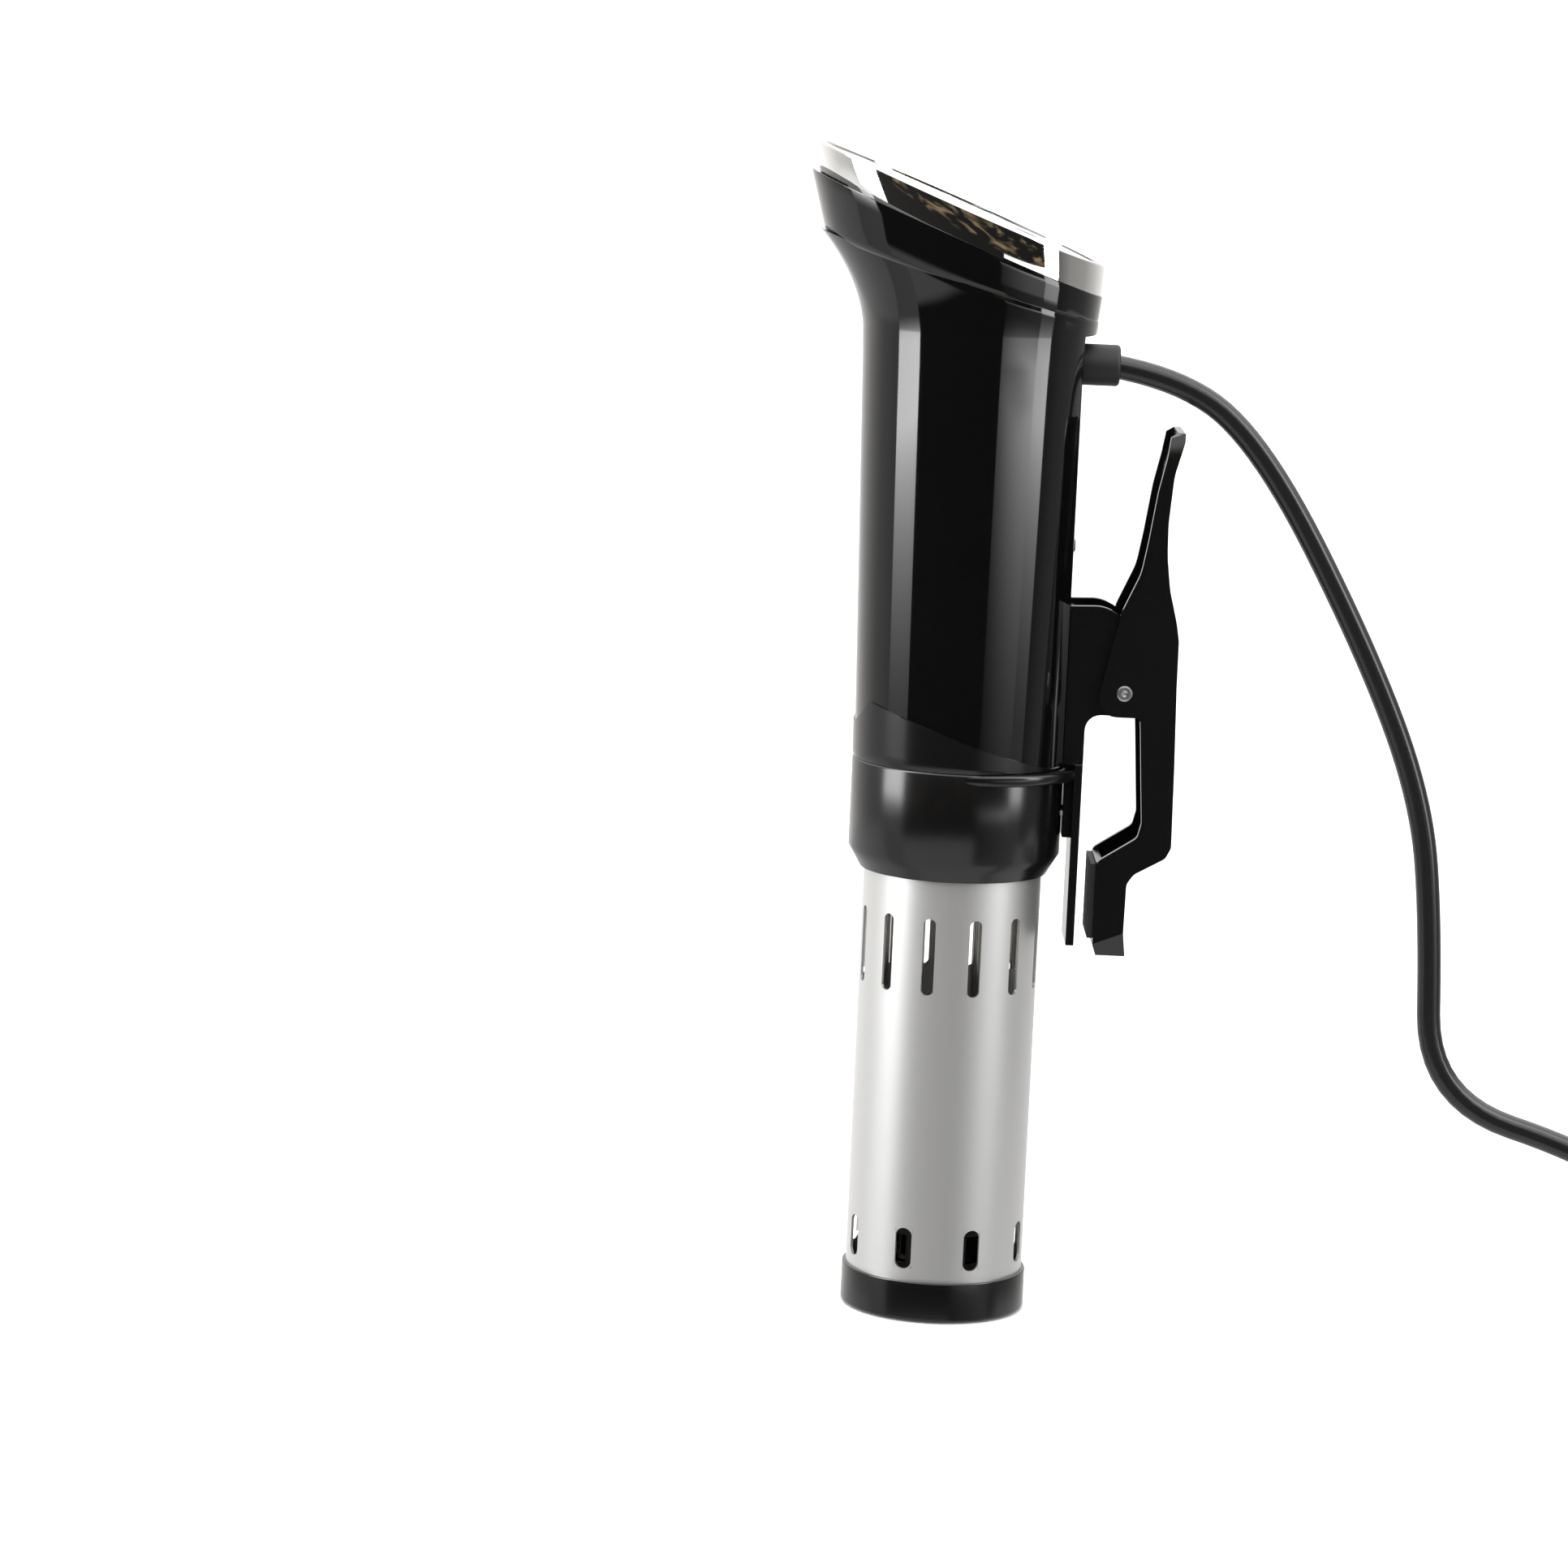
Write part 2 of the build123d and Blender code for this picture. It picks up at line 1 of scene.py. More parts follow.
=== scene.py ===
import bpy
import numpy as np
from mathutils import Matrix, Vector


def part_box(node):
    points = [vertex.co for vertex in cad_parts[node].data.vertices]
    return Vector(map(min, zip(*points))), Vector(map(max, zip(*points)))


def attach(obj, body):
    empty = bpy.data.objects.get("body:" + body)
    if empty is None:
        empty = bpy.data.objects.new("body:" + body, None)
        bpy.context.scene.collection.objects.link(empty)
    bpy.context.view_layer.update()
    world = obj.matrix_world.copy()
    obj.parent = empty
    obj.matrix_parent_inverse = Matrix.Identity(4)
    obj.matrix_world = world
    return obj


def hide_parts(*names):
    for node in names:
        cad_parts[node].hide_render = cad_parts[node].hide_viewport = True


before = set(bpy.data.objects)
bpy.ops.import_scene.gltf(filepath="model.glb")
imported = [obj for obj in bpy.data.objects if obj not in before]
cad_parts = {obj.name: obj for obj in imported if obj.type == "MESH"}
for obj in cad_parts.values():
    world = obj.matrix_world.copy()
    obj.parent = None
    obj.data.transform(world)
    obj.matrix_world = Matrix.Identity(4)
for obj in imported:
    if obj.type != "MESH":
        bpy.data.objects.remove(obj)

bl_info = {
    "name": "Sous vide circulator",
    "version": (1, 0, 0),
    "blender": (4, 5, 0),
    "location": "View3D > Sidebar > Circulator",
    "description": "Builds the surfaces and finishes of a clamp-on sous vide circulator round its frame",
    "category": "Object",
}

# Every length below is in millimetres unless a comment says otherwise. The frame's origin is the
# middle of the foot's under face, +Z is up, and +X points from the tube towards the pot clamp.
MM = 1000.0
TAU = 2 * np.pi


def low_corner(node):
    """Lowest corner of a frame node's box, in millimetres."""
    return np.array(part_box(node)[0]) * MM


def high_corner(node):
    """Highest corner of a frame node's box, in millimetres."""
    return np.array(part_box(node)[1]) * MM


def corner(node, toward_x, toward_z):
    """The (x, z) place of a frame node that lies furthest along a direction in the XZ plane."""
    points = np.array([v.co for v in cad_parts[node].data.vertices]) * MM
    best = points[np.argmax(points[:, 0] * toward_x + points[:, 2] * toward_z)]
    return best[0], best[2]


# ---------------------------------------- places read from the frame
TOP_FRONT = corner("chrome_bezel", -1.0, 0.5)
TOP_BACK = corner("chrome_bezel", 1.0, 0.0)
SEAM_FRONT = corner("chrome_bezel", -1.0, -0.6)
SEAM_BACK = corner("chrome_bezel", 0.3, -1.0)
RING_TIP = corner("head_ring", -1.0, 0.0)
RING_FRONT = corner("head_ring", -1.0, -0.6)
RING_BACK = corner("head_ring", 0.1, -1.0)
BEZEL_HALF = high_corner("chrome_bezel")[1]
RING_HALF = high_corner("head_ring")[1]

# Height at which the head ring's sides reach the full width of its frame node.
RING_FULL_Z = (SEAM_FRONT[1] + SEAM_BACK[1]) / 2 + 2.0

SPINE_LOW, SPINE_HIGH = low_corner("rear_spine"), high_corner("rear_spine")
COLLAR_LOW = low_corner("collar")
SKIRT_LOW, SKIRT_HIGH = low_corner("skirt_tube"), high_corner("skirt_tube")
FOOT_HIGH = high_corner("foot_cap")
PIN_LOW, PIN_HIGH = low_corner("pivot_pin"), high_corner("pivot_pin")
PIVOT = ((PIN_LOW[0] + PIN_HIGH[0]) / 2, (PIN_LOW[2] + PIN_HIGH[2]) / 2)
RELIEF_HIGH = high_corner("strain_relief")
RELIEF_Z = (low_corner("strain_relief")[2] + RELIEF_HIGH[2]) / 2
PLUG_LOW, PLUG_HIGH = low_corner("plug_body"), high_corner("plug_body")
COIL_LOW, COIL_HIGH = low_corner("cord_coil"), high_corner("cord_coil")

BODY_LOW = (190.0, 35.0)       # height and radius at the tapered body's lower end
BODY_TOP = (328.0, 38.5)       # and where the neck starts
WALL = 2.4                     # wall of the body covers
RELIEF_BORE = 4.25             # radius of the strain relief's bore
GAP = 0.05                     # clearance between covers that nearly touch
AXIS = 0.05                    # radius of a closed end on a turned piece's axis
LEDGE_Z = 188.0                # height of the collar's ledge
BEZEL_SET_IN = 0.3             # how much less than its frame node the bezel's top is wide, each side

# Slopes of the outlines: how many millimetres a wall leans out or in for each one of height.
BEZEL_LEAN = 0.012
RING_BACK_LEAN = 0.11
RING_SIDE_LEAN = 0.08
NECK_SIDE_LEAN = 0.02
# Share of the squared rise by which the neck flares.
NECK_FRONT_FLARE = 0.012
NECK_BACK_FLARE = 0.0025

# Upper edge of the collar: two (x, z) points of its slanted plane, and the finger dip in front.
EDGE_FRONT, EDGE_BACK = (-29.6, 208.4), (28.5, 189.3)
DIP_RADIUS, DIP_Z, DIP_END_X = 22.5, 222.5, -5.0
NO_DIP_Z = 260.0               # above every edge, where there is no dip

# Route of the free cord, from inside the strain relief to the coil on the floor, in metres.
CORD_ROUTE = [
    (0.038, 0.0, 0.3232), (0.068, 0.0, 0.3204), (0.098, 0.0, 0.296), (0.136, 0.0, 0.229),
    (0.157, 0.0, 0.180), (0.1625, 0.0, 0.138), (0.165, 0.0, 0.078), (0.224, -0.002, 0.061),
    (0.264, -0.017, 0.037), (0.303, -0.043, 0.0085), (0.336, -0.048, 0.0052),
]


# ---------------------------------------- colours and sizes
def linear(code):
    """Linear RGBA of an sRGB hex colour."""
    value = np.array([int(code[i:i + 2], 16) for i in (0, 2, 4)]) / 255
    value = np.where(value <= 0.04045, value / 12.92, ((value + 0.055) / 1.055) ** 2.4)
    return (*(float(v) for v in value), 1.0)


def colour(name, code, description):
    """A colour property whose default is an sRGB hex colour."""
    return bpy.props.FloatVectorProperty(
        name=name, description=description, default=linear(code), size=4, min=0.0, max=1.0,
        subtype="COLOR",
    )


def length(name, default, description):
    """A length property; the default is given in millimetres and kept in metres."""
    return bpy.props.FloatProperty(
        name=name, description=description, default=default / MM, min=0.0, soft_max=0.2,
        subtype="DISTANCE", unit="LENGTH", precision=5,
    )


class CirculatorSizes(bpy.types.PropertyGroup):
    """Sizes that shape the looks and leave the frame as it is."""

    bezel_lip: length("Bezel lip", 3.0, "Width of the bezel's upper lip")
    panel_drop: length("Panel drop", 0.8, "How far the panel's face lies below the lip")
    ring_edge: length("Ring edge", 3.0, "Radius of the head ring's under edge")
    shell_edge: length("Shell edge", 0.35, "Bevel on the edges of the moulded covers")
    clamp_edge: length("Clamp edge", 0.55, "Bevel on the edges of the clamp")
    cord_diameter: length("Cord diameter", 8.0, "Outer diameter of the mains cord")
    brush_line: length("Brush line", 0.6, "Spacing of the brushed lines on the steel skirt")


class CirculatorColours(bpy.types.PropertyGroup):
    """Colours of the finishes."""

    body: colour("Body", "070708", "Polished black of the body and head ring")
    clamp: colour("Clamp", "0a0a0b", "Satin black of the clamp and collar")
    chrome: colour("Chrome", "f0efed", "Plated bezel")
    steel: colour("Steel", "cfccc6", "Stainless steel skirt and rods")
    rubber: colour("Rubber", "17171a", "Pads and seals")
    cord: colour("Cord", "161617", "Mains cord jacket")
    display: colour("Display", "bfefff", "Lit digits of the display")
    floor: colour("Floor", "f4f3f1", "Paper floor")


class CirculatorStage(bpy.types.PropertyGroup):
    """Light and camera."""

    lens: bpy.props.FloatProperty(
        name="Lens", description="Focal length in millimetres on a 36 mm wide sensor",
        default=124.19, min=20.0, max=300.0,
    )
    softbox: bpy.props.FloatProperty(
        name="Softboxes", description="Radiance of the softboxes beside the object",
        default=11.0, min=0.0, max=50.0,
    )
    floor_size: bpy.props.FloatProperty(
        name="Floor size", description="Side of the square paper floor",
        default=140.0, min=1.0, subtype="DISTANCE", unit="LENGTH",
    )


# ---------------------------------------- shapes as whole arrays
def outward(points, faces):
    """Drops unused points, and turns the faces so that they point out: the volume, a sum of
    triple products of each face's fan of edges, then counts positive."""
    used, flat = np.unique(np.concatenate([np.ravel(f) for f in faces]), return_inverse=True)
    points = points[used]
    renumbered, start = [], 0
    for group in faces:
        renumbered.append(flat[start:start + group.size].reshape(group.shape))
        start += group.size
    volume = 0.0
    for group in renumbered:
        fan = points[group]
        hub = fan[:, :1]
        volume += np.sum(np.cross(fan[:, 1:-1], fan[:, 2:]) * hub)
    if volume < 0:
        renumbered = [group[:, ::-1] for group in renumbered]
    return points, renumbered


def loft(rings, closed_rows=False):
    """Closed skin over a stack of closed rings (rows, columns, 3). Each ring joins the next one
    point to point; the two end rings are capped, unless the last row joins the first."""
    rows, columns = rings.shape[:2]
    index = np.arange(rows * columns).reshape(rows, columns)
    low = index if closed_rows else index[:-1]
    high = np.roll(index, -1, 0) if closed_rows else index[1:]
    quads = np.stack([low, np.roll(low, -1, 1), np.roll(high, -1, 1), high], -1).reshape(-1, 4)
    faces = [quads] if closed_rows else [quads, index[:1, ::-1], index[-1:]]
    return outward(rings.reshape(-1, 3), faces)


def walled(outer, inner, keep=None, round_columns=False):
    """Closed wall between two grids of one size. keep marks the solid cells, so a window is a
    block of cells left out; a side wall joins both faces wherever a solid cell has no solid
    neighbour. With round_columns the last column joins the first."""
    rows, columns = outer.shape[:2]
    index = np.arange(rows * columns).reshape(rows, columns)
    if round_columns:
        index = np.concatenate([index, index[:, :1]], 1)
    a, b, c, d = index[:-1, :-1], index[:-1, 1:], index[1:, 1:], index[1:, :-1]
    if keep is None:
        keep = np.ones(a.shape, bool)
    solid = np.pad(keep, 1)
    if round_columns:
        solid[1:-1, 0], solid[1:-1, -1] = keep[:, -1], keep[:, 0]
    behind = rows * columns
    front = np.stack([a, b, c, d], -1)[keep]
    faces = [front, front[:, ::-1] + behind]
    sides = (
        (a, b, solid[:-2, 1:-1]), (b, c, solid[1:-1, 2:]),
        (c, d, solid[2:, 1:-1]), (d, a, solid[1:-1, :-2]),
    )
    for start, end, neighbour in sides:
        bare = keep & ~neighbour
        faces.append(np.stack([end, start, start + behind, end + behind], -1)[bare])
    points = np.concatenate([outer.reshape(-1, 3), inner.reshape(-1, 3)])
    return outward(points, [f for f in faces if len(f)])


def rounded(corners, steps=6, closed=False):
    """Outline whose corners (a, b, radius) become arcs tangent to both of their sides, cut down
    where a side is too short."""
    parts = []
    for i, (a, b, radius) in enumerate(corners):
        here = np.array([a, b], float)
        if radius == 0 or (not closed and i in (0, len(corners) - 1)):
            parts.append(here[None])
            continue
        back = np.array(corners[i - 1][:2]) - here
        on = np.array(corners[(i + 1) % len(corners)][:2]) - here
        reach_most = 0.49 * min(np.hypot(*back), np.hypot(*on))
        back, on = back / np.hypot(*back), on / np.hypot(*on)
        half = np.arccos(np.clip(back @ on, -1, 1)) / 2
        reach = min(radius / np.tan(half), reach_most)
        middle = here + (back + on) / np.hypot(*(back + on)) * reach / np.cos(half)
        start, end = here + back * reach - middle, here + on * reach - middle
        span = np.pi - 2 * half
        t = np.linspace(0, 1, steps + 1)[:, None]
        arc = (np.sin((1 - t) * span) * start + np.sin(t * span) * end) / np.sin(span)
        parts.append(middle + arc)
    return np.concatenate(parts)


SETTLING_ROUNDS = 30    # rounds in which a point's height and its place in the plan settle


def oval(turn, outline, inset):
    """Point of a stretched round: the middle plus half times the cosine, plus the slack length
    times 1.5 cos - 0.5 cos cubed, which is flat at both ends; y is half times the sine."""
    front, back, half = outline
    slack = (back - front) / 2 - half
    c = np.cos(turn)
    x = (front + back) / 2 + (half - inset) * c + slack * (1.5 * c - 0.5 * c**3)
    return x, (half - inset) * np.sin(turn)


def oval_grid(section, levels, outline, turn):
    """Grid carried round an oval. Each section row (level, lift, inset) lies at the height
    mixed from the two nearest level functions, plus lift; height and plan are found together."""
    level, lift, inset = (section[:, k:k + 1] for k in range(3))
    x = np.zeros((len(section), turn.shape[-1]))
    y = np.zeros_like(x)
    for _ in range(SETTLING_ROUNDS):
        z = lift + sum(
            np.clip(1 - np.abs(level - k), 0, 1) * height(x, y)
            for k, height in enumerate(levels)
        )
        x, y = oval(turn, outline(z), inset)
    return np.stack([x, y, z + 0 * x], -1)


def section(corners, rows=1, bulge=0.0, gap=10.0, steps=5):
    """Closed wall section from corners (level, lift, inset, radius). Each corner is rounded as
    if the levels lay gap apart, and rows more are spread between corners on unlike levels. The
    first such stretch bulges outwards by 4 t (1 - t) of the bulge."""
    flat = [(level * gap + lift, inset, radius) for level, lift, inset, radius in corners]
    out = []
    for i, (level, *_rest) in enumerate(corners):
        trio = [flat[i - 1], flat[i], flat[(i + 1) % len(flat)]]
        arc = rounded(trio, steps)[1:-1]
        out.append(np.column_stack([np.full(len(arc), level), arc[:, 0] - level * gap, arc[:, 1]]))
        after = corners[(i + 1) % len(corners)]
        if after[0] != level and rows > 1:
            t = np.linspace(0, 1, rows + 1)[1:-1, None]
            start = out[-1][-1]
            out.append(start + t * (np.array(after[:3]) - start))
            out[-1][:, 2:] -= 4 * bulge * t * (1 - t) * (i == 0)
    return np.concatenate(out)


def turns(columns):
    """Evenly spread angles of a full turn, as one row."""
    return np.linspace(0, TAU, columns, endpoint=False)[None]


def from_nearest(angle, count, first=0.0):
    """Angle from the nearest of count places spread evenly round a turn, one of them at first."""
    pitch = TAU / count
    return (angle - first + pitch / 2) % pitch - pitch / 2


def power_curve(value, power):
    """Size of the value raised to 2 over the power, with the value's own sign."""
    return np.sign(value) * np.abs(value) ** (2 / power)


def smooth(value):
    """Smooth step of a value between 0 and 1: 3 times its square less twice its cube."""
    t = np.clip(value, 0, 1)
    return t * t * (3 - 2 * t)


def band(corners, levels, outline, columns=192, rows=1, bulge=0.0):
    """Closed wall of one section carried round an oval."""
    grid = oval_grid(section(corners, rows, bulge), levels, outline, turns(columns))
    return loft(grid, closed_rows=True)


def slanted(front, back):
    """Height of the straight line through two (x, z) points, as a level function."""
    slope = (back[1] - front[1]) / (back[0] - front[0])
    return lambda x, y: front[1] + (x - front[0]) * slope


def level_at(z):
    """A level height, as a level function."""
    return lambda x, y: np.full(np.shape(x), float(z))


def turned(profile, origin, axis, columns=48, closed=False, reach=None):
    """Surface of revolution: profile (distance along the axis, radius) swept round the axis.
    reach, when given, scales the radius by angle and row."""
    axis = np.array(axis, float) / np.linalg.norm(axis)
    side = np.cross(axis, (0.0, 1.0, 0.0) if abs(axis[1]) < 0.9 else (0.0, 0.0, 1.0))
    side = side / np.linalg.norm(side)
    other = np.cross(axis, side)
    angle = turns(columns)[..., None]
    along, radius = profile[:, :1, None], profile[:, 1:2, None]
    if reach is not None:
        radius = radius * reach[..., None]
    spoke = np.cos(angle) * side + np.sin(angle) * other
    return loft(np.array(origin) + along * axis + radius * spoke, closed_rows=closed)


def prism(outline, low_y, high_y):
    """Plate across the object: an (x, z) outline carried from one y to another."""
    rings = np.stack([
        np.column_stack([outline[:, 0], np.full(len(outline), y), outline[:, 1]])
        for y in (low_y, high_y)
    ])
    return loft(rings)


def box(x, y, z):
    """Block from three (low, high) pairs."""
    return prism(np.array([(x[0], z[0]), (x[1], z[0]), (x[1], z[1]), (x[0], z[1])]), *y)


def tube(centre, side, radius, columns=20):
    """Round tube on a line of points: radius by angle, measured from the side direction given
    for each point and square to the line."""
    along = np.gradient(centre, axis=0)
    along /= np.linalg.norm(along, axis=1, keepdims=True)
    side = side - along * np.sum(side * along, axis=1, keepdims=True)
    side /= np.linalg.norm(side, axis=1, keepdims=True)
    other = np.cross(along, side)
    angle = turns(columns)[..., None]
    spoke = np.cos(angle) * side[:, None] + np.sin(angle) * other[:, None]
    return loft(centre[:, None] + spoke * np.broadcast_to(radius, (1, columns))[..., None])


def piece(name, shells, finish, replaces=(), body="housing", bevel=0.0, crease=32.0):
    """Object from closed shells in millimetres. Edges over the crease angle stay sharp, and a
    bevel of the given width rounds them."""
    mesh = bpy.data.meshes.new(name)
    points, faces, start = [], [], 0
    for shell_points, groups in shells:
        points.append(shell_points)
        for group in groups:
            faces += (group + start).tolist()
        start += len(shell_points)
    mesh.from_pydata((np.concatenate(points) / MM).tolist(), [], faces)
    mesh.shade_smooth()
    mesh.set_sharp_from_angle(angle=np.radians(crease))
    mesh.materials.append(finish)
    obj = bpy.data.objects.new(name, mesh)
    bpy.context.scene.collection.objects.link(obj)
    if bevel:
        edge = obj.modifiers.new("edge", "BEVEL")
        edge.width = bevel / MM
        edge.segments = 3
        edge.limit_method = "ANGLE"
        edge.angle_limit = np.radians(crease)
        edge.harden_normals = True
    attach(obj, body)
    if replaces:
        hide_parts(*replaces)
    return obj


# ---------------------------------------- finishes
MIX_A, MIX_B, MIX_COLOUR = 6, 7, 2    # a Mix node's two colour inputs and its colour output
TONE_WIDTH = 35.0                     # width of the broad changes of tone, in millimetres
LEAST_TINT = 0.01                     # lift that lets a tint show on a black base


def add(tree, kind, settings=(), links=()):
    """Adds one node, with its settings and what its inputs are linked from: another node's
    first output, or any output named."""
    node = tree.nodes.new(kind)
    for key, value in dict(settings).items():
        if isinstance(key, str) and hasattr(node, key):
            setattr(node, key, value)
        else:
            node.inputs[key].default_value = value
    for key, source in dict(links).items():
        tree.links.new(getattr(source, "outputs", [source])[0], node.inputs[key])
    return node


def finish(name, **settings):
    """New material with a Principled shader and the settings on its sockets; one that is there
    already is given back. Returns the material, its tree, the shader and whether it is new."""
    known = bpy.data.materials.get(name)
    if known:
        return known, known.node_tree, None, False
    material = bpy.data.materials.new(name)
    material.use_nodes = True
    tree = material.node_tree
    shader = tree.nodes["Principled BSDF"]
    for key, value in settings.items():
        shader.inputs[key.replace("_", " ")].default_value = value
    return material, tree, shader, True


def grained(name, base, rough, spread, grain, depth, tint=0.12, stretch=(1.0, 1.0, 1.0), **more):
    """Finish with a fine surface grain: noise of the given grain size sets the roughness between
    rough and rough plus spread, and lifts the surface by depth. Broad noise shifts the colour
    either way by tint. Grain and depth are in millimetres, and more sets shader sockets."""
    material, tree, shader, new = finish(name, **more)
    if not new:
        return material
    place = add(tree, "ShaderNodeTexCoord").outputs["Object"]
    scaled = add(tree, "ShaderNodeMapping", {"Scale": stretch}, {"Vector": place})
    fine = add(tree, "ShaderNodeTexNoise", {"Scale": MM / grain, "Detail": 3.0}, {"Vector": scaled})
    broad = add(tree, "ShaderNodeTexNoise", {"Scale": MM / TONE_WIDTH, "Detail": 2.0}, {"Vector": place})
    shine = add(tree, "ShaderNodeMapRange", {"To Min": rough, "To Max": rough + spread}, {"Value": fine})
    tree.links.new(shine.outputs[0], shader.inputs["Roughness"])
    lighter = tuple(min(1.0, c * (1 + tint) + LEAST_TINT * tint) for c in base[:3]) + (1.0,)
    darker = tuple(c * (1 - tint) for c in base[:3]) + (1.0,)
    shade = add(tree, "ShaderNodeMix", {"data_type": "RGBA", MIX_A: darker, MIX_B: lighter}, {0: broad})
    tree.links.new(shade.outputs[MIX_COLOUR], shader.inputs["Base Color"])
    if depth:
        lift = add(tree, "ShaderNodeBump", {"Distance": depth / MM, "Strength": 1.0}, {"Height": fine})
        tree.links.new(lift.outputs[0], shader.inputs["Normal"])
    return material


def colours():
    """The colours that the user set."""
    return bpy.context.scene.circulator_colours


def sizes(name):
    """One of the sizes that the user set, in millimetres."""
    return getattr(bpy.context.scene.circulator_sizes, name) * MM


def polished_abs():
    # ABS moulded against a mirror-polished tool: deep black gloss, with faint waviness.
    return grained(
        "polished_abs", colours().body, rough=0.035, spread=0.03, grain=14.0, depth=0.0015,
        tint=0.08, IOR=1.54,
    )


def satin_nylon():
    # Glass-filled nylon from a spark-eroded tool: an even satin with a fine pebble. The true
    # pebble of 0.1 mm is drawn at 0.5 mm so that it shows.
    return grained(
        "satin_glass_filled_nylon", colours().clamp, rough=0.16, spread=0.08, grain=0.5,
        depth=0.002, IOR=1.53,
    )


def plated_chrome():
    # Decorative chrome plated on ABS: a mirror, very slightly wavy from the moulding under it.
    return grained(
        "plated_chrome", colours().chrome, rough=0.02, spread=0.03, grain=9.0, depth=0.001,
        tint=0.02, Metallic=1.0,
    )


def panel_gloss():
    # Back-printed polycarbonate sheet: black seen through a clear hard coat.
    return grained(
        "polycarbonate_panel", linear("08080a"), rough=0.06, spread=0.04, grain=6.0,
        depth=0.0008, IOR=1.58, Coat_Weight=0.4, Coat_Roughness=0.03,
    )


def smoked_window():
    # Tinted acrylic, flame-polished: nearly black, with a slight blue depth.
    return grained(
        "smoked_acrylic", linear("0a0d12"), rough=0.03, spread=0.02, grain=8.0, depth=0.0005,
        IOR=1.49, Coat_Weight=0.6, Coat_Roughness=0.02,
    )


def moulded_rubber():
    # Moulded EPDM: dull, a little dusty in patches.
    return grained(
        "moulded_epdm_rubber", colours().rubber, rough=0.62, spread=0.2, grain=0.8, depth=0.02,
        tint=0.3, IOR=1.52,
    )


def relief_rubber():
    # Soft PVC moulded against a sand-blasted tool: matt charcoal.
    return grained(
        "matt_soft_pvc", linear("121213"), rough=0.5, spread=0.14, grain=0.6, depth=0.012,
        tint=0.15, IOR=1.5,
    )


def brushed_steel():
    # Stainless tube linished on a belt while it turns: fine lines round the tube, which smear
    # the reflections up and down. The true lines of 0.1 mm are drawn wider so that they show.
    return grained(
        "brushed_stainless", colours().steel, rough=0.2, spread=0.16,
        grain=sizes("brush_line"), depth=0.006, tint=0.05, stretch=(0.04, 0.04, 1.0), Metallic=1.0,
    )


def drawn_steel():
    # Drawn and electropolished stainless: bright with faint lines along the rod.
    return grained(
        "electropolished_stainless", colours().steel, rough=0.12, spread=0.1, grain=1.2,
        depth=0.002, tint=0.05, stretch=(1.0, 1.0, 0.05), Metallic=1.0,
    )


def zinc_steel():
    # Zinc-plated steel, barrel polished: a soft grey metal with light mottling.
    return grained(
        "zinc_plated_steel", linear("b9bbbd"), rough=0.26, spread=0.14, grain=1.0, depth=0.004,
        tint=0.12, Metallic=1.0,
    )


def spring_wire():
    # Oil-tempered music wire: dark blue-grey metal.
    return grained(
        "music_wire", linear("6f7378"), rough=0.28, spread=0.12, grain=0.5, depth=0.002,
        tint=0.15, Metallic=1.0,
    )


def sintered_bronze():
    # Sintered bronze: a porous bearing metal, mottled by its grains.
    return grained(
        "sintered_bronze", linear("a8793f"), rough=0.42, spread=0.2, grain=0.3, depth=0.01,
        tint=0.2, Metallic=1.0,
    )


def extruded_aluminium():
    # Mill-finish extrusion: pale metal with die lines along its length.
    return grained(
        "extruded_aluminium", linear("c4c7ca"), rough=0.32, spread=0.14, grain=0.5, depth=0.004,
        tint=0.06, stretch=(1.0, 1.0, 0.03), Metallic=1.0,
    )


def circuit_board():
    # Glass-epoxy board under green solder mask: the weave of 0.4 mm shows as mottling.
    return grained(
        "fr4_solder_mask", linear("12482a"), rough=0.3, spread=0.14, grain=0.4, depth=0.008,
        tint=0.25, IOR=1.55,
    )


def moulded_nylon():
    # Unpolished nylon moulding of the fan and impeller: dull black.
    return grained(
        "moulded_nylon", linear("1d1e20"), rough=0.45, spread=0.15, grain=0.7, depth=0.006,
        tint=0.15, IOR=1.53,
    )


def moulded_pps():
    # Mineral-filled PPS, which takes the heat near the heater: a dense grey-brown.
    return grained(
        "moulded_pps", linear("3a3733"), rough=0.4, spread=0.16, grain=0.6, depth=0.006,
        tint=0.15, IOR=1.6,
    )


def nickel_brass():
    # Nickel-plated brass blades: warm bright metal, scuffed by sockets.
    return grained(
        "nickel_plated_brass", linear("cdc4ae"), rough=0.18, spread=0.18, grain=0.8, depth=0.004,
        tint=0.1, Metallic=1.0,
    )


def cord_jacket():
    """Extruded PVC: glossy, with shallow die lines that run along the cord, so the pattern
    follows the cord's own UV map (turn round the section, metres along it)."""
    material, tree, shader, new = finish(
        "extruded_pvc_jacket", IOR=1.53, Base_Color=tuple(colours().cord),
    )
    if not new:
        return material
    uv = add(tree, "ShaderNodeUVMap", {"uv_map": "jacket"}).outputs["UV"]
    lines_round, waves_per_metre, line_depth = 24.0, 6.0, 0.04
    drawn = add(
        tree, "ShaderNodeMapping", {"Scale": (lines_round, waves_per_metre, 1.0)}, {"Vector": uv},
    )
    lines = add(tree, "ShaderNodeTexNoise", {"Scale": 1.0, "Detail": 2.0}, {"Vector": drawn})
    shine = add(tree, "ShaderNodeMapRange", {"To Min": 0.2, "To Max": 0.34}, {"Value": lines})
    tree.links.new(shine.outputs[0], shader.inputs["Roughness"])
    lift = add(
        tree, "ShaderNodeBump", {"Distance": line_depth / MM, "Strength": 1.0}, {"Height": lines},
    )
    tree.links.new(lift.outputs[0], shader.inputs["Normal"])
    return material


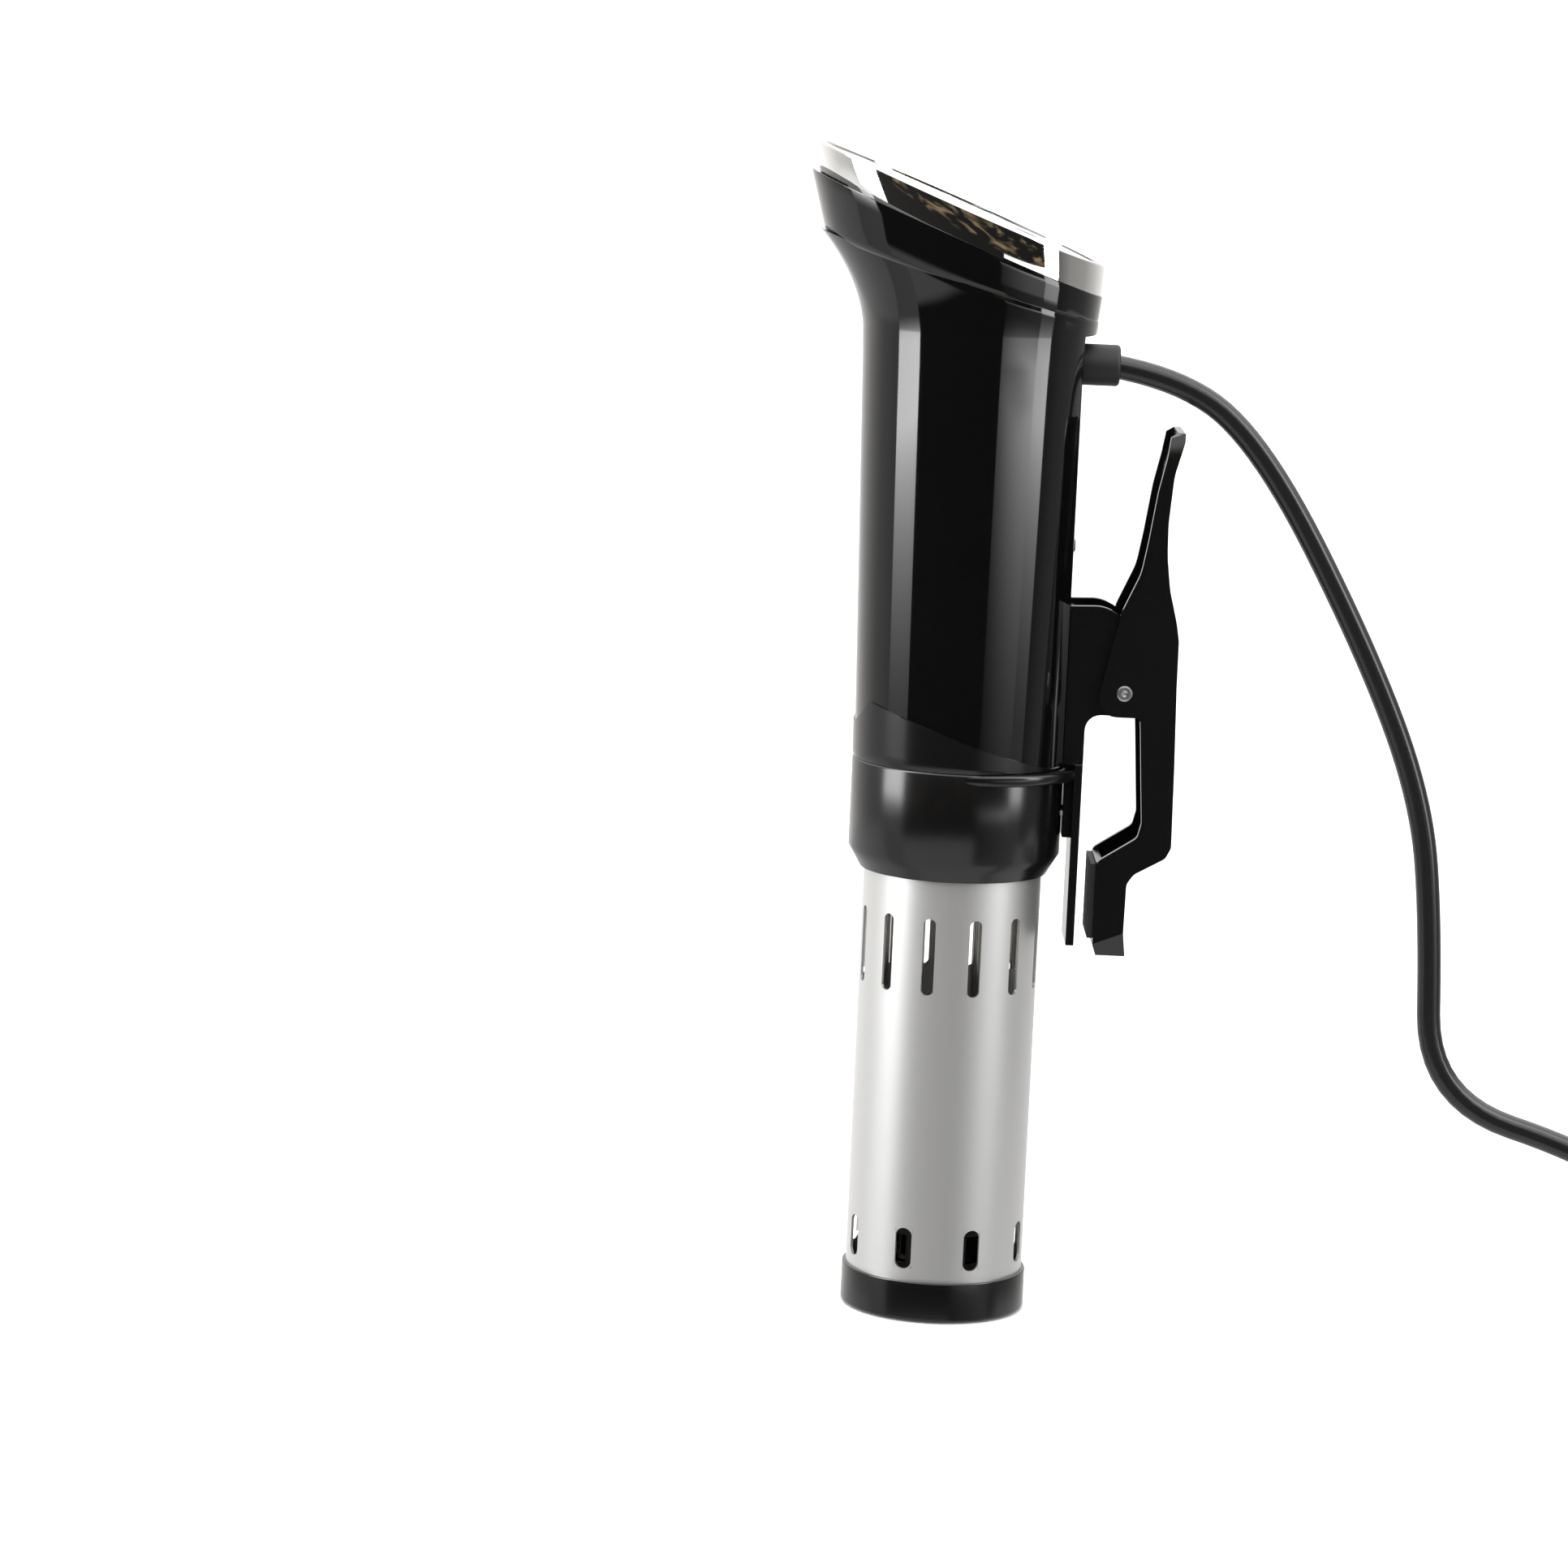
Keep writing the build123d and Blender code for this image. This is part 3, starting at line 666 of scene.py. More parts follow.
def lit_segment():
    """Light-emitting digits behind the smoked window: an even glow, a little mottled."""
    glow = tuple(colours().display)
    material, tree, shader, new = finish(
        "led_segment", Base_Color=glow, Emission_Strength=1.6, Roughness=0.4,
    )
    if not new:
        return material
    place = add(tree, "ShaderNodeTexCoord").outputs["Object"]
    spot, dimmest = 1.5, 0.8
    mottle = add(tree, "ShaderNodeTexNoise", {"Scale": MM / spot, "Detail": 1.0}, {"Vector": place})
    dim = tuple(c * dimmest for c in glow[:3]) + (1.0,)
    shade = add(tree, "ShaderNodeMix", {"data_type": "RGBA", MIX_A: dim, MIX_B: glow}, {0: mottle})
    tree.links.new(shade.outputs[MIX_COLOUR], shader.inputs["Emission Color"])
    return material


def printed_ink():
    # Screen-printed grey ink of the touch marks.
    return grained(
        "screen_ink", linear("b8bcc0"), rough=0.45, spread=0.1, grain=0.3, depth=0.0, tint=0.05,
    )


def floor_paper():
    # Matt white backdrop paper: faint broad tone, no gloss.
    return grained(
        "backdrop_paper", colours().floor, rough=0.85, spread=0.1, grain=2.0, depth=0.0,
        tint=0.01, IOR=1.45,
    )


# ---------------------------------------- outlines of the covers
def between(low, high, z):
    """x on the straight line through two (x, z) points, at height z."""
    return low[0] + (z - low[1]) * (high[0] - low[0]) / (high[1] - low[1])


def bezel_outline(z):
    """Front and back follow the frame's corners, and the sides lean out downwards."""
    half = BEZEL_HALF - BEZEL_SET_IN + (TOP_FRONT[1] - z) * BEZEL_LEAN
    return between(SEAM_FRONT, TOP_FRONT, z), between(SEAM_BACK, TOP_BACK, z), half


def ring_outline(z):
    """Front from the ring's lower corner to its tip; the back and the sides lean in downwards."""
    half = RING_HALF + (z - RING_FULL_Z) * RING_SIDE_LEAN
    back = RING_BACK[0] + (z - RING_BACK[1]) * RING_BACK_LEAN
    return between(RING_FRONT, RING_TIP, z), back, half


def body_outline(z):
    """Tapered round body. Above the neck's start the front and the back flare with the square
    of the rise, and the sides lean out with the rise."""
    slope = (BODY_TOP[1] - BODY_LOW[1]) / (BODY_TOP[0] - BODY_LOW[0])
    radius = BODY_LOW[1] + (np.minimum(z, BODY_TOP[0]) - BODY_LOW[0]) * slope
    rise = np.maximum(0.0, z - BODY_TOP[0])
    front = -radius - NECK_FRONT_FLARE * rise**2
    back = radius + NECK_BACK_FLARE * rise**2
    return front, back, radius + NECK_SIDE_LEAN * rise


def collar_edge(x, y):
    """Upper edge of the collar: a slanted plane, cut in front by a finger dip, which is a round
    channel along X. The lower of the two is taken softly, as minus the log of the sum of the
    exponentials of minus each height."""
    plane = slanted(EDGE_FRONT, EDGE_BACK)(x, y)
    dip = DIP_Z - np.sqrt(np.maximum(DIP_RADIUS**2 - y**2, 1.0))
    dip = np.where(x < DIP_END_X, dip, NO_DIP_Z)
    soft = 0.8
    return -soft * np.log(np.exp(-plane / soft) + np.exp(-dip / soft))


# ---------------------------------------- pieces
def make_bezel():
    """Chrome bezel: a wall from the seam up to the sloped top, with a lip turned in round the
    panel. Its face bulges a little between the two."""
    lip, wall = sizes("bezel_lip"), 2.0
    lip_foot = -sizes("panel_drop") - 1.8
    top, seam = slanted(TOP_FRONT, TOP_BACK), slanted(SEAM_FRONT, SEAM_BACK)
    corners = [
        (0, GAP, 0.0, 0.0), (1, 0.0, 0.0, 0.9), (1, 0.0, lip, 0.5), (1, lip_foot, lip, 0.2),
        (1, lip_foot, wall, 0.2), (0, GAP, wall, 0.2),
    ]
    shell = band(corners, [seam, top], bezel_outline, columns=256, rows=12, bulge=0.2)
    piece("bezel", [shell], plated_chrome(), ["chrome_bezel"], crease=60)


def make_head_ring():
    """Black head ring: a wall from its under face up to the seam, with a foot that reaches in
    to the neck. The gasket is a thin band inside the bezel, on top of the ring."""
    seam = slanted(SEAM_FRONT, SEAM_BACK)
    under = slanted(RING_FRONT, RING_BACK)
    wall, foot = 3.2, 7.2
    corners = [
        (0, 0.0, 0.0, sizes("ring_edge")), (1, 0.0, 0.0, 0.35), (1, 0.0, wall, 0.3),
        (0, 6.0, wall, 0.5), (0, 3.4, foot, 0.5), (0, 0.0, foot, 0.3),
    ]
    shell = band(corners, [under, seam], ring_outline, columns=256, rows=4)
    piece("head_ring_cover", [shell], polished_abs(), ["head_ring"], crease=60)
    seal_top, low, high, outer, inner = 4.3, -4.2, -0.1, 2.4, 3.1
    seal = [
        (1, low, outer, 0.2), (1, high, outer, 0.2), (1, high, inner, 0.2), (1, low, inner, 0.2),
    ]
    lift = [level_at(0.0), lambda x, y: seam(x, y) + seal_top]
    piece("bezel_gasket", [band(seal, lift, bezel_outline)], moulded_rubber(),
          ["bezel_seal"], crease=60)


def on_panel(across, along, lift):
    """Point of the sloped panel: along its slope from the front edge, across it, and lifted
    square to it."""
    start, end = np.array(TOP_FRONT), np.array(TOP_BACK)
    run = (end - start) / np.hypot(*(end - start))
    up = np.array([-run[1], run[0]])
    xz = start + np.multiply.outer(along, run) + np.multiply.outer(lift + 0 * along, up)
    return np.stack([xz[..., 0], across + 0 * along, xz[..., 1]], -1)


def panel_plate(edge, hole, drop, thick):
    """Flat ring on the slope between two outlines of one length, in (along, across)."""
    rows = [(hole, drop), (edge, drop), (edge, drop - thick), (hole, drop - thick)]
    rings = np.stack([on_panel(o[:, 1], o[:, 0], lift) for o, lift in rows])
    return loft(rings, closed_rows=True)


def rounded_frame(middle, half_along, half_across, power, turn):
    """Superellipse: cosine and sine raised to 2 over the power, keeping their signs."""
    along = middle + half_along * power_curve(np.cos(turn), power)
    return np.column_stack([along, half_across * power_curve(np.sin(turn), power)])


def make_panel():
    """Touch panel: a sheet that fills the bezel, with a window set flush in its hole. Both are
    flat plates between outlines on the slope."""
    drop, thick, columns = -sizes("panel_drop"), 1.6, 192
    half_along, half_across, squareness, clearance = 17.0, 23.0, 6.0, 0.07
    run = np.hypot(TOP_BACK[0] - TOP_FRONT[0], TOP_BACK[1] - TOP_FRONT[1])
    row = np.array([(0.0, drop, sizes("bezel_lip") + GAP)])
    rim = oval_grid(row, [slanted(TOP_FRONT, TOP_BACK)], bezel_outline, turns(columns))[0]
    scale = run / (TOP_BACK[0] - TOP_FRONT[0])
    edge = np.column_stack([(rim[:, 0] - TOP_FRONT[0]) * scale, rim[:, 1]])
    middle = run * 0.48
    turn = turns(columns)[0]
    hole = rounded_frame(middle, half_along, half_across, squareness, turn)
    piece("touch_panel", [panel_plate(edge, hole, drop, thick)], panel_gloss(),
          ["control_panel"], bevel=0.15)

    glass = rounded_frame(middle, half_along - clearance, half_across - clearance, squareness, turn)
    centre = np.array([(middle, 0.0)])
    eye = centre + (glass - centre) * 0.02
    rows = [(eye, drop), (glass, drop), (glass, drop - thick), (eye, drop - thick)]
    rings = np.stack([on_panel(o[:, 1], o[:, 0], lift) for o, lift in rows])
    piece("window", [loft(rings)], smoked_window(), ["display_window"], bevel=0.15)
    make_display_marks(middle, drop)


SEGMENTS = {
    "0": "abcdef", "1": "bc", "2": "abged", "3": "abgcd", "4": "fgbc", "5": "afgcd",
    "6": "afgedc", "7": "abc", "8": "abcdefg", "9": "abcdfg",
}
# Middle (along, across) of each segment in halves of a digit's width, and 1 where it lies across.
PLACES = {
    "a": (-2, 0, 1), "g": (0, 0, 1), "d": (2, 0, 1),
    "b": (-1, 1, 0), "c": (1, 1, 0), "f": (-1, -1, 0), "e": (1, -1, 0),
}


def mark(outline, lift, height=0.12):
    """Thin printed or lit shape on the panel, from an (along, across) outline."""
    levels = (lift + 0.01, lift + height)
    return loft(np.stack([on_panel(outline[:, 1], outline[:, 0], z) for z in levels]))


def make_display_marks(middle, lift):
    """Seven-segment digits in the window, which read from the clamp's side, and touch marks on
    the panel round it: a plus, a minus and a power sign."""
    lit = []
    for text, row, half, width in (("60.0", -5.0, 3.0, 1.0), ("1.30", 8.5, 1.7, 0.6)):
        pitch, point = 2.9 * half, width * 0.6
        long, wide = half * 0.84, width / 2
        at = -1.5 * pitch
        for letter in text:
            if letter == ".":
                dot = rounded_frame(middle + row + 2 * half, point, point, 2.0, turns(16)[0])
                lit.append(mark(dot + (0, at - pitch / 2), lift))
                continue
            for along, across, flat in (PLACES[s] for s in SEGMENTS[letter]):
                bar = np.array([
                    (0, -long), (-wide, -long + wide), (-wide, long - wide),
                    (0, long), (wide, long - wide), (wide, -long + wide),
                ])
                bar = bar if flat else bar[:, ::-1]
                place = np.array([middle + row + along * half, at + across * half])
                lit.append(mark(bar + place, lift))
            at += pitch
    piece("display_digits", lit, lit_segment())

    thin, reach, aside, behind, ink = 0.3, 2.4, 30.5, 27.0, 0.06
    marks = []
    for across, along, wide in ((aside, reach, thin), (aside, thin, reach), (-aside, thin, reach)):
        stroke = rounded_frame(middle, along, wide, 8.0, turns(24)[0]) + (0, across)
        marks.append(mark(stroke, lift, ink))
    opening, outer, inner = 0.6, 3.2, 2.6
    turn = np.linspace(opening, TAU - opening, 40)
    arc = np.column_stack([-np.cos(turn), np.sin(turn)])
    marks.append(mark(np.concatenate([arc * outer, arc[::-1] * inner]) + (middle + behind, 0), lift, ink))
    stem = rounded_frame(middle + behind - 2.6, 1.8, thin, 8.0, turns(24)[0])
    marks.append(mark(stem, lift, ink))
    piece("touch_marks", marks, printed_ink())


def flared(grid, reach=16.0, most=0.9):
    """Pushes a grid outwards near the ring: by most, times the square of the share climbed of
    the last reach below the ring's under face. The front, which flares anyway, is left out."""
    x, y, z = np.moveaxis(grid, -1, 0)
    below = slanted(RING_FRONT, RING_BACK)(x, y) - z
    none_x, full_x = -45.0, -15.0
    most = most * np.clip((x - none_x) / (full_x - none_x), 0, 1)
    push = 1 + most * np.clip(1 - below / reach, 0, 1) ** 2 / np.hypot(x, y)
    return np.stack([x * push, y * push, z], -1)


def make_front_shell():
    """Wall from the sleeve in the collar up to the ring, open behind where the spine sits."""
    sleeve_low, sleeve_inset, overlap = 176.0, 1.8, 1.8
    shadow_gap, thick_level = 0.4, 1.1
    levels = [
        level_at(sleeve_low), collar_edge, level_at(SPINE_HIGH[2]), slanted(RING_FRONT, RING_BACK),
    ]
    rise = np.linspace(1, 2, 14)[1:]
    neck = np.linspace(2, 3, 26)[1:]
    sleeve = [(0, 0, sleeve_inset), (1, -0.6, sleeve_inset)]
    outer = sleeve + [(1, -shadow_gap, 0.0)]
    outer += [(t, -shadow_gap * (2 - t), 0.0) for t in rise]
    outer += [(t, overlap * (t - 2), 0.0) for t in neck]
    inner = [(t, lift, sleeve_inset + WALL if t <= thick_level else WALL) for t, lift, _inset in outer]
    bay = SPINE_HIGH[1] + GAP
    bay_rows = len(sleeve) + len(rise)
    columns, bay_cells = 220, 16
    grids = []
    for rows in (outer, inner):
        rows = np.array(rows, float)
        radius = oval_grid(rows, levels, body_outline, turns(4))[:, 1:2, 1]
        edge = np.arcsin(np.clip(bay / radius, 0, 1))
        share = np.linspace(-1, 1, bay_cells + 1)[None]
        rest = np.linspace(0, 1, columns - bay_cells + 1)[None, 1:-1]
        turn = np.concatenate([edge * share, edge + (TAU - 2 * edge) * rest], 1)
        grids.append(flared(oval_grid(rows, levels, body_outline, turn)))
    keep = np.ones((len(outer) - 1, columns), bool)
    keep[:bay_rows, :bay_cells] = False
    shell = walled(*grids, keep, round_columns=True)
    piece("body_shell", [shell], polished_abs(), ["front_shell"],
          bevel=sizes("shell_edge"), crease=32)


def make_spine():
    """Flat-backed channel: one rounded section carried up the body."""
    start_x, slope_x, slope_y, corner_radius, back_radius = 26.0, 3.4, 5.1, 1.6, 3.0
    heights = np.linspace(SPINE_LOW[2], SPINE_HIGH[2], 3)
    grids = []
    for inset in (0.0, WALL):
        back, side = SPINE_HIGH[0] - inset, SPINE_HIGH[1] - inset
        line = rounded([
            (start_x, -side, 0), (back - slope_x, -side, corner_radius),
            (back, -side + slope_y, back_radius), (back, side - slope_y, back_radius),
            (back - slope_x, side, corner_radius), (start_x, side, 0),
        ])
        grids.append(np.stack([np.column_stack([line, np.full(len(line), z)]) for z in heights]))
    piece("spine_cover", [walled(*grids)], polished_abs(), ["rear_spine"],
          bevel=sizes("shell_edge"))


def make_collar():
    """Collar wall: a lower cone, a straight band with a rounded ledge, and the slanted upper
    wall, which stands off the body by a step. The ledge carries a lip round the whole collar."""
    cone_radius, band_radius, cone_height, step = 31.6, 35.6, 7.0, 0.6
    levels = [level_at(COLLAR_LOW[2]), level_at(158.0), level_at(LEDGE_Z), collar_edge]

    def outline(z):
        """Round section: the cone and the band below the ledge, the upper wall above it."""
        cone = np.clip((z - COLLAR_LOW[2]) / cone_height, 0, 1)
        lower = cone_radius + (band_radius - cone_radius) * cone
        radius = np.where(z > LEDGE_Z + 0.01, body_outline(z)[2] + step, lower)
        return -radius, radius, radius

    outer = [(t, 0.0, 0.0) for t in (0, 0.5, 1, 1.5)]
    outer += [(2, -0.6, 0.0), (2, -0.2, 0.15), (2, 0.02, 0.45), (2, 0.3, 0.3)]
    outer += [(t, 0.0, 0.0) for t in 2 + np.linspace(0, 1, 10)[1:]]
    inner = [(t, lift, 4.0 if t < 1.6 else 2.3) for t, lift, _inset in outer]
    grids = [oval_grid(np.array(rows, float), levels, outline, turns(240)) for rows in (outer, inner)]
    shell = walled(*grids, round_columns=True)

    lip_outline = (-35.45, 41.25, band_radius)
    depth = 4.0
    lip = band(
        [(0, 0, 0, 1.7), (1, 0, 0, 1.2), (1, 0, depth, 0.2), (0, 0, depth, 0.2)],
        [level_at(LEDGE_Z - depth), level_at(LEDGE_Z)],
        lambda z: lip_outline,
    )
    piece("collar_cover", [shell, lip], satin_nylon(), ["collar"],
          bevel=0.3, crease=40)


def make_skirt():
    """Perforated tube. The slots are cells left out of the grid. The row of points at a slot's
    end follows a half round, the root of the squared half width less the squared distance from
    the slot's middle, so that the slots have round ends."""
    radius, wall = (SKIRT_HIGH[0] - SKIRT_LOW[0]) / 2, 0.8
    # How many slots, the first one's bearing in degrees, their width, and their lower and upper end.
    bands = [(12, 15.0, 4.4, 112.0, 138.0), (8, 22.5, 6.0, 18.0, 32.0)]
    columns, tolerance = 720, 0.01
    angle = turns(columns)[0]
    ends = [end + np.array([-1.0, 0.0, 1.0]) for slots in bands for end in slots[3:]]
    heights = np.unique(np.concatenate([np.linspace(SKIRT_LOW[2], SKIRT_HIGH[2], 12), *ends]))
    z = np.repeat(heights[:, None], columns, 1)
    keep = np.ones((len(heights) - 1, columns), bool)
    for count, first, width, low, high in bands:
        first, half = np.radians(first), width / 2
        across = np.abs(from_nearest(angle, count, first) * radius)
        bow = np.sqrt(np.maximum(half**2 - across**2, 0.0)) - half
        z[heights == high] += bow * (across <= half)
        z[heights == low] -= bow * (across <= half)
        open_columns = np.abs(from_nearest(angle + TAU / columns / 2, count, first) * radius) < half
        open_rows = (heights[:-1] >= low - tolerance) & (heights[1:] <= high + tolerance)
        keep[np.ix_(open_rows, open_columns)] = False
    rings = [
        np.stack([r * np.cos(angle) + 0 * z, r * np.sin(angle) + 0 * z, z], -1)
        for r in (radius, radius - wall)
    ]
    piece("skirt", [walled(*rings, keep, round_columns=True)], brushed_steel(),
          ["skirt_tube"], crease=40)


def make_foot():
    """Foot cap: a turned cup, and in its floor six windows for the water, which are cells left
    out of a flat ring between the cup and a hub."""
    radius, high = FOOT_HIGH[0], FOOT_HIGH[2]
    floor, hub, rim, wall, rebate = 3.0, 6.6, 12.4, 2.0, 1.2
    windows, half_window, columns = 6, 0.28, 144
    middle, up = (0, 0, 0), (0, 0, 1)
    profile = rounded([
        (0.0, rim, 0), (0.0, radius, 1.6), (high, radius, 0.8), (high, radius - rebate, 0.3),
        (floor, radius - rebate - wall, 0.3), (floor, rim, 0),
    ], closed=True)
    cup = turned(profile, middle, up, columns, closed=True)
    angle = turns(columns)[0]
    r = np.linspace(0, 1, 9)[:, None] * (rim - hub) + hub + 0 * angle
    keep = np.ones((len(r) - 1, columns), bool)
    open_columns = np.abs(from_nearest(angle + TAU / columns / 2, windows)) < half_window
    keep[1:-1][:, open_columns] = False
    plates = [
        np.stack([r * np.cos(angle), r * np.sin(angle), np.full(r.shape, z)], -1)
        for z in (floor, 0.0)
    ]
    web = walled(*plates, keep, round_columns=True)
    disc = turned(np.array([(0.0, AXIS), (0.0, hub), (floor, hub), (floor, AXIS)]), middle, up, 72)
    piece("foot", [cup, web, disc], satin_nylon(), ["foot_cap"], crease=40)


# ---------------------------------------- clamp
def rail(corners, keys, rows):
    """Points along a rounded outline, shared out evenly between the places nearest the keys."""
    curve = rounded(corners)
    run = np.concatenate([[0], np.cumsum(np.hypot(*np.diff(curve, axis=0).T))])
    at = [run[np.argmin(np.hypot(*(curve - key).T))] for key in keys]
    spread = np.interp(np.linspace(0, len(keys) - 1, rows), np.arange(len(keys)), at)
    return np.column_stack([np.interp(spread, run, curve[:, k]) for k in (0, 1)])


def channel(open_rail, web_rail, half, wall, web):
    """U channel between two rails: side walls from the open rail to the web rail, and a web
    across. half is the half width, one value for each row."""
    along = np.gradient(web_rail, axis=0)
    along /= np.linalg.norm(along, axis=1, keepdims=True)
    square = np.column_stack([-along[:, 1], along[:, 0]])
    towards = np.sign(np.sum(square * (open_rail - web_rail), axis=1))[:, None]
    inside = web_rail + square * towards * web

    def grid(web_line, side):
        """One face of the channel, from one open edge round the web to the other."""
        near_web = open_rail * 0.04 + web_line * 0.96
        near_side = side * 0.9
        columns = [
            (open_rail, -side), (near_web, -side), (web_line, -side), (web_line, -near_side),
            (web_line, near_side), (web_line, side), (near_web, side), (open_rail, side),
        ]
        return np.stack([np.column_stack([p[:, 0], y, p[:, 1]]) for p, y in columns], 1)

    return walled(grid(web_rail, half), grid(inside, half - wall))


# The lever's two long edges, from its tip down to its foot, as (x, z, corner radius): the web on
# its outer side, and the open edge of its walls on the side of the body. The keys under them are
# the (x, z) places where the two edges keep level with each other.
LEVER_WEB = [
    (69.7, 302.0, 0), (69.6, 299.3, 1), (66.6, 288.3, 20), (65.4, 271.9, 40), (65.7, 261.0, 40),
    (67.1, 250.1, 30), (69.9, 239.2, 20), (71.0, 233.0, 4), (71.1, 217.3, 4), (71.8, 189.7, 20),
    (72.2, 163.1, 3.5), (70.4, 159.4, 3.5), (60.2, 153.6, 4), (57.9, 150.2, 3.5),
    (57.7, 133.4, 2), (58.8, 125.0, 0),
]
LEVER_OPEN = [
    (64.9, 300.5, 0), (63.9, 293.6, 6), (61.5, 282.6, 30), (59.2, 266.2, 30), (57.3, 255.1, 20),
    (51.2, 241.2, 12), (43.9, 206.5, 7.6), (59.5, 206.5, 1.6), (61.8, 171.0, 3), (60.6, 166.0, 3),
    (47.5, 157.4, 3), (47.5, 129.0, 1.5), (48.9, 125.0, 0),
]
LEVER_WEB_KEYS = [
    (69.7, 302.0), (67.1, 250.1), (69.9, 239.2), (71.1, 222.0), (71.3, 211.0), (71.5, 204.0),
    (72.2, 166.0), (70.4, 159.4), (60.2, 153.6), (57.8, 148.0), (57.7, 133.4), (58.8, 125.0),
]
LEVER_OPEN_KEYS = [
    (64.9, 300.5), (57.3, 255.1), (51.2, 241.2), (46.0, 216.0), (49.0, 207.0), (59.5, 206.5),
    (61.8, 171.0), (60.6, 166.0), (49.0, 158.4), (47.5, 154.0), (47.5, 133.4), (48.9, 125.0),
]


def make_lever():
    """Lever: a moulded channel with a plate that backs its pad. Its foot and tip draw in, which
    leaves a slanted facet there."""
    rows, wall, web_wall, plate_inset = 220, 2.3, 2.4, 2.2
    foot_z, foot_slope, tip_z, tip_slope = 133.4, 0.42, 296.0, 0.3
    web = rail(LEVER_WEB, LEVER_WEB_KEYS, rows)
    left = rail(LEVER_OPEN, LEVER_OPEN_KEYS, rows)
    half = high_corner("clamp_lever")[1]
    draw_in = foot_slope * np.maximum(0, foot_z - web[:, 1])
    draw_in += tip_slope * np.maximum(0, web[:, 1] - tip_z)
    shell = channel(left, web, half - draw_in, wall, web_wall)
    plate = box((47.5, 49.7), (-half + plate_inset, half - plate_inset), (129.6, 157.0))
    piece("lever", [shell, plate], satin_nylon(), ["clamp_lever"], "lever",
          bevel=sizes("clamp_edge"), crease=20)


def ribbed_pad(name, node, face, back, body):
    """Rubber pad with level ribs. The face sinks by half of one less the cosine of the height,
    once for each rib, and stays flat at its rim."""
    pitch, depth, edge, rim = 3.0, 0.45, 0.8, 1.5
    low, high = low_corner(node), high_corner(node)
    z = np.linspace(low[2], high[2], 160)[:, None]
    y = np.array([low[1], low[1] + edge, high[1] - edge, high[1]])[None]
    inside = np.minimum(1, np.minimum(z - low[2], high[2] - z) / rim) * (np.abs(y) < high[1] - edge / 2)
    sunk = np.sign(back - face) * depth * inside * (1 - np.cos(TAU * (z - low[2]) / pitch)) / 2
    grids = [
        np.stack([x + 0 * sunk, y + 0 * z, z + 0 * y], -1)
        for x in (face + sunk, np.full(sunk.shape, back))
    ]
    piece(name, [walled(*grids)], moulded_rubber(), [node], body, bevel=0.3, crease=50)


def make_bracket():
    """Bracket, open on top: two side walls, the solid core between them, three ribs on the core,
    the jaw plate below and the block behind the jaw."""
    low, high = low_corner("clamp_bracket"), high_corner("clamp_bracket")
    half, inner = high[1], high[1] - 2.3
    bite, rib = 0.1, 0.6    # how far the solids run into each other, and half a rib's width
    x, z = PIVOT
    back, top, foot = low[0], 243.0, 189.5
    wall = rounded([
        (back, foot, 0.3), (back, top, 0.3), (45.7, top + 0.4, 12.0), (51.3, 240.6, 5.0),
        (61.3, 218.4, 8.0), (x + 7.4, z - 7.6, 7.2), (x, z - 8.0, 1.0), (41.4, 206.6, 5.2),
        (41.4, foot, 0.3),
    ], closed=True)
    core = rounded([
        (back + 0.1, foot + 0.2, 0), (back + 0.1, top - 1.5, 0), (37.0, top - 1.5, 0.6),
        (37.0, 204.0, 1.2), (44.0, 209.0, 1.5), (x + 2.0, 209.0, 0.4), (x, z - 7.9, 0),
        (41.3, 206.7, 5.3), (41.3, foot + 0.2, 0),
    ], closed=True)
    shells = [prism(wall, -half, -inner), prism(wall, inner, half)]
    shells.append(prism(core, -inner - bite, inner + bite))
    shells += [box((36.8, 40.4), (y - rib, y + rib), (222.0, 240.0)) for y in (-6.5, -3.5, 3.5)]
    shells.append(box((38.6, 41.4), (-half, half), (low[2], foot + bite)))
    shells.append(box((35.75, 38.7), (-8.0, 8.0), (164.0, foot + bite)))
    piece("bracket", shells, satin_nylon(), ["clamp_bracket"],
          bevel=sizes("clamp_edge"), crease=32)


def make_pin():
    """Pivot pin with a turned dimple in each end."""
    half = PIN_HIGH[1]
    radius = (PIN_HIGH[0] - PIN_LOW[0]) / 2
    end = np.array([
        (0.3, AXIS), (0.26, 0.4), (0.12, 0.8), (0.03, 1.1), (0.0, 1.4), (0.0, radius - 0.45),
        (0.12, radius - 0.15), (0.45, radius),
    ])
    profile = np.concatenate([end, end[::-1] * (-1, 1) + (2 * half, 0)])
    piece("pin", [turned(profile, (PIVOT[0], -half, PIVOT[1]), (0, 1, 0))], zinc_steel(),
          ["pivot_pin"], crease=25)


def make_spring():
    """Torsion spring: a helix of wire round the pin."""
    wire, radius, turns_of_wire, half = 0.65, 4.6, 6.25, 6.6
    angle = np.linspace(0, TAU * turns_of_wire, 240)
    y = -half + 2 * half * angle / angle[-1]
    x, z = PIVOT
    line = np.column_stack([x + radius * np.cos(angle), y, z + radius * np.sin(angle)])
    side = np.column_stack([np.cos(angle), 0 * angle, np.sin(angle)])
    piece("spring", [tube(line, side, wire, 10)], spring_wire(), ["clamp_spring"])


def screw(x, y, z, shank):
    """Pan head screw on +X with a hexagon socket: the socket's rows take the radius of a
    hexagon, which is the flat distance over the cosine of the angle from the nearest flat."""
    profile = np.array([
        (0.5, AXIS), (0.5, 1.15), (1.15, 1.15), (1.2, 1.35), (1.2, 1.7), (1.0, 2.25), (0.6, 2.55),
        (0.0, 2.6), (0.0, 1.2), (-shank, 1.2), (-shank - 0.3, 0.6), (-shank - 0.3, AXIS),
    ])
    socket, columns = slice(1, 3), 48
    reach = np.ones((len(profile), columns))
    reach[socket] = 1 / np.cos(from_nearest(turns(columns), 6))
    return turned(profile, (x, y, z), (1, 0, 0), columns, reach=reach)


